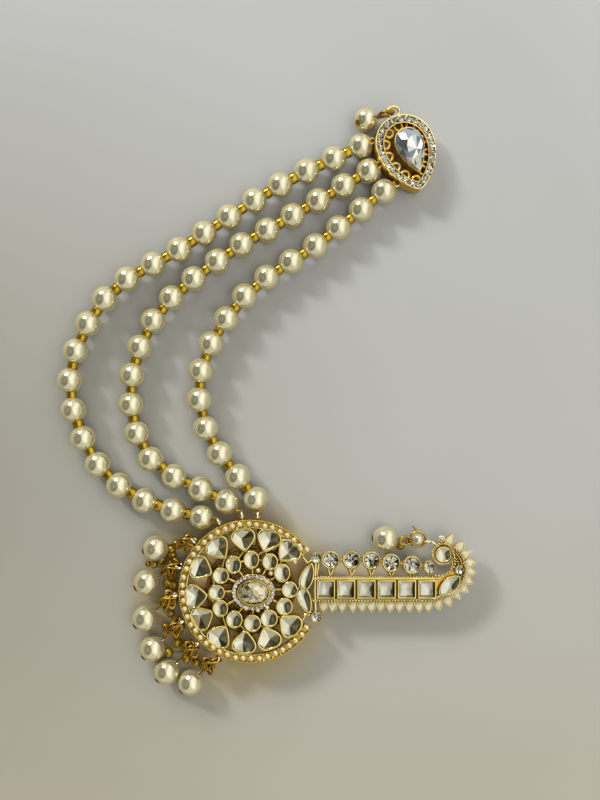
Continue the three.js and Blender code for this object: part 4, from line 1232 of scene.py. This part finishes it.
lace = {"radius": 1.35, "wire": 0.5, "inset": 6.6, "taper": 0.55, "count": 12, "height": 5.6,
        "stretch": (1.15, 0.95, 1, 1)}
laceLine = pearPoints(endFrame["length"] - lace["inset"], endFrame["width"] - lace["inset"],
                      lace["taper"], 96)
laceRing = makeRing(lace["radius"], lace["wire"])
lacePlaces = []
for p in evenly(laceLine, lace["count"]):
    turn = math.atan2(p.y - pear["y"], p.x - pear["x"])
    lacePlaces.append(endPlace @ moved(p.x, p.y, lace["height"]) @ Matrix.Rotation(turn, 4, "Z")
                      @ Matrix.Diagonal(lace["stretch"]))
dress(copies(laceRing, lacePlaces), "end_lattice", amberGold, "gold_metal", "end_setting")

hang = {"y": 13.7, "height": 6.2, "radius": 1.85, "wire": 0.52, "ring": 2.4, "eyeReach": 4.8, "eyeDrop": 2.4,
        "pearl": (36.8, 150.0), "scale": (0.93, 0.93, 0.95), "lie": (-0.64, -0.40, 0.66)}
endGold += copies(makeRing(hang["radius"], hang["wire"]), [moved(0, hang["y"], hang["height"])])
for string in strings.values():
    endLoop = makeRing(endFrame["loop"], endFrame["loopWire"])
    endGold += copies(endLoop, [Matrix.Translation(endLoopPoint(string["endLoop"]))])
for bit in endGold:  # painted shade: pale along the crest, the darker amber gold below as painted shade
    litCrest = max(corner.co.z for corner in bit.data.vertices) - 0.7 * mm
    twoTone(bit, paleGold, amberGold, lambda face: face.center.z < litCrest)
    bit.data.transform(endPlace)
dress(endGold, "end_frame", None, "gold_metal", "end_setting")

channelLine = pearPoints(endFrame["length"] - endBand["gemInset"], endFrame["width"] - endBand["gemInset"],
                         endFrame["taper"], 128)
endGemPlaces = [endPlace @ moved(p.x, p.y, endBand["gemHeight"])
                @ Matrix.Rotation(random.uniform(0, 0.8), 4, "Z")
                for p in evenly(channelLine, endBand["gemCount"])]
endGem = makeStar(endBand["gem"], gemThick, 6)
dress(starCopies(endGem, endGemPlaces), "end_gems", None, "clear_stone", "end_setting")
discard(endGem)

pearGem = makeCutGem(pearPoints(pear["length"], pear["width"], pear["taper"], 12), -gemThick, pear["girdle"],
                     pear["crown"], pear["table"], [iceFoil, paintedGlintFoil, darkReflectionFoil])
for face in inOrder(pearGem):  # painted reflections: dark round the upper left, white in the table and at the tip
    x, y = face.center.x / mm, face.center.y / mm
    if face.normal.z > 0.1:
        dark = 0.75 if x < -1.6 and y > -1.5 else 0.45 if x > 2.0 and y < 3.0 else 0.12
        face.material_index = 2 if random.random() < dark else 1 if y < -2.0 else 0
        if math.hypot(x, y) < 2.7 and face.normal.z > 0.9:
            face.material_index = pear["tableReflections"][int(math.degrees(math.atan2(y, x)) % 360 // 30)]
apex = max(pearGem.data.vertices, key=lambda corner: corner.co.z)
apex.co += Vector(pear["apexShift"]) * mm
pearGem.data.transform(endPlace @ moved(pear["x"], pear["y"], pear["top"]))
dress(pearGem, "pear_gem", None, "clear_stone", "pear_stone")

hangCentre = endPlace @ Vector((0, hang["y"] * mm, hang["height"] * mm))
endPearl = spotOf(*hang["pearl"], pearl["height"])
hangHeading = levelHeading(hangCentre, endPearl)
hangSide = leftOf(hangHeading)
jumpCentre = hangCentre + hangHeading * hang["ring"] * mm
dress(copies(makeRing(hang["ring"], hang["wire"]), [aimed(jumpCentre, hangSide)]),
      "end_jump_ring", ringBrass, "gold_metal", "end_ring")
hangEye = hangCentre + hangHeading * hang["eyeReach"] * mm - upward * hang["eyeDrop"] * mm
endLie = Vector(hang["lie"]).normalized()  # its pin's head looks up to the left
pearlDrop("end_pearl", endPearl, endLie, hang["scale"], "end_drop")
dress(eyePin(hangEye, hangHeading, endPearl, hangSide, endLie),
      "end_pearl_pin", ringBrass, "gold_metal", "end_drop")
discard(pearlBead)
# painted shade: the pins beneath the brooches get the dark brown brass
for name in ("medallion_pin", "end_pin"):
    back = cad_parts[name]
    back.data.materials.clear()
    back.data.materials.append(underShadeBrass)
print("end brooch done")


# floor, light and camera

floor = startFrom("plane", size=9.0)
floor.name = "floor"
openFaces(floor)
bpy.ops.mesh.subdivide(number_cuts=3)
closeEdit()
floorFinish, nodes, links, shader = newFinish("paleFloor", Roughness=0.55)
where = nodes.new("ShaderNodeTexCoord").outputs["Object"]
parts = nodes.new("ShaderNodeSeparateXYZ")
links.new(where, parts.inputs["Vector"])


def tintRound(x, y, stops, squeeze=1):  # the floor's tone by the distance from a spot
    spot = spotOf(x, y, 0)
    narrow = vectorStep(nodes, links, "MULTIPLY", where, (1, squeeze, 1))
    apart = vectorStep(nodes, links, "DISTANCE", narrow.outputs["Vector"], (spot.x, spot.y * squeeze, 0))
    return rampOf(nodes, links, apart.outputs["Value"], stops)


# painted light: darker and warmer towards the bottom, paler towards the top
colour = rampOf(nodes, links, spanOf(nodes, links, parts.outputs["Y"], 0.0, 4.1, -0.13),
                [(0.0, (0.312, 0.294, 0.245)), (0.35, (0.314, 0.315, 0.300)), (0.9, (0.324, 0.331, 0.336))])
dim = tintRound(-120, 45, [(0.02, (0.71, 0.68, 0.60)), (0.17, white), (0.24, (1.02, 1.02, 1.02)),
                           (0.34, (1.22, 1.22, 1.23))])  # painted shade, dimmer at the left edge, and painted light, brighter far from it
mottle = rampOf(nodes, links, noiseOf(nodes, links, 14), [(0.3, (0.97, 0.97, 0.97)), (0.7, white)])
# painted warm bounce light from the gold round the fringe
goldBounceTint = tintRound(-6, -3, [(0.0, (1.1, 0.94, 0.56)), (0.023, (1.1, 0.93, 0.54)), (0.036, white)])
# painted light let through the medallion's openings
under = tintRound(0, 0, [(0.0, (1.8, 1.6, 1.35)), (0.017, (1.8, 1.6, 1.35)), (0.0205, white)])
# painted light let through under the arm
through = tintRound(41, 5.6, [(0.0, (1.65, 1.42, 1.08)), (0.017, (1.65, 1.42, 1.08)), (0.021, white)], 7)
for tint in (dim, mottle, goldBounceTint, under, through):  # painted light on the floor: shade at the left edge, warm bounce round the fringe, and light let through the openings of the medallion and the arm; the mottle is the floor's own
    colour = timesColour(nodes, links, colour, tint)
links.new(colour, shader.inputs["Base Color"])
floor.data.materials.append(floorFinish)

room = bpy.data.worlds.new("room")
bpy.context.scene.world = room
room.use_nodes = True
nodes, links = room.node_tree.nodes, room.node_tree.links
sky = nodes["Background"]
where = nodes.new("ShaderNodeTexCoord").outputs["Generated"]
parts = nodes.new("ShaderNodeSeparateXYZ")
links.new(where, parts.inputs["Vector"])


def shadePatch(x, y, width, depth, stops):  # an oval part of the ceiling, darker or paler than the rest
    away = vectorStep(nodes, links, "MULTIPLY_ADD", where,
                      (1 / width, 1 / depth, 0), (-x / width, -y / depth, 0))
    apart = vectorStep(nodes, links, "LENGTH", away.outputs["Vector"])
    return rampOf(nodes, links, apart.outputs["Value"], stops)


glow = rampOf(nodes, links, spanOf(nodes, links, parts.outputs["X"], 0.0, 1.0, -1.0),
              [(0.0, (0.82, 0.80, 0.68)), (0.25, (0.76, 0.74, 0.64)), (0.5, (0.76, 0.75, 0.67)),
               (0.8, (0.76, 0.74, 0.65)), (1.0, (0.58, 0.55, 0.44))])
for x, y, width, depth, stops in (
        (-0.53, -0.02, 0.52, 0.80, [(0.82, (0.13, 0.125, 0.1)), (1.0, white)]),  # a dark patch
        (-0.52, -0.08, 0.28, 0.42, [(0.5, (2.4, 2.4, 2.3)), (1.0, white)]),  # its paler core
        (0.47, 0.10, 0.42, 0.95, [(0.66, (1.88, 1.93, 2.16)), (1.0, white)])):  # the bright wall on the right
    glow = timesColour(nodes, links, glow, shadePatch(x, y, width, depth, stops))
links.new(glow, sky.inputs["Color"])
sky.inputs["Strength"].default_value = 1.0


def softbox(name, azimuth, elevation, distance, size, power, colour, glossy=True):
    lamp = bpy.data.lights.new(name, "AREA")
    lamp.shape = "RECTANGLE"
    lamp.size, lamp.size_y = size
    lamp.energy = power
    lamp.color = colour
    box = bpy.data.objects.new(name, lamp)
    a, e = math.radians(azimuth), math.radians(elevation)
    heading = Vector((math.cos(e) * math.cos(a), math.cos(e) * math.sin(a), math.sin(e)))
    box.location = heading * distance
    box.rotation_euler = heading.to_track_quat("Z", "Y").to_euler()
    box.visible_glossy = glossy
    bpy.context.collection.objects.link(box)


softbox("keyBox", 136, 28, 2.4, (0.34, 0.34), 46.0, (1.0, 1.0, 0.99), glossy=False)
softbox("fillBox", -30, 72, 1.6, (1.2, 1.2), 8.0, (1.0, 0.96, 0.87), glossy=False)
softbox("topBox", 116, 30, 1.0, (0.35, 0.22), 4.0, (1.0, 1.0, 1.0))

lens = {"x": 15.78, "y": 60.39, "height": 300.0, "focal": 925.0, "tall": 800.0}  # focal and tall in pixels
eye = bpy.data.cameras.new("camera")
eye.sensor_fit = "VERTICAL"
eye.sensor_height = 24.0
eye.lens = lens["focal"] / lens["tall"] * eye.sensor_height
eye.clip_start = 0.01
camera = bpy.data.objects.new("camera", eye)
camera.location = spotOf(lens["x"], lens["y"], lens["height"])
bpy.context.collection.objects.link(camera)
bpy.context.scene.camera = camera
bpy.context.scene.view_settings.view_transform = "Standard"
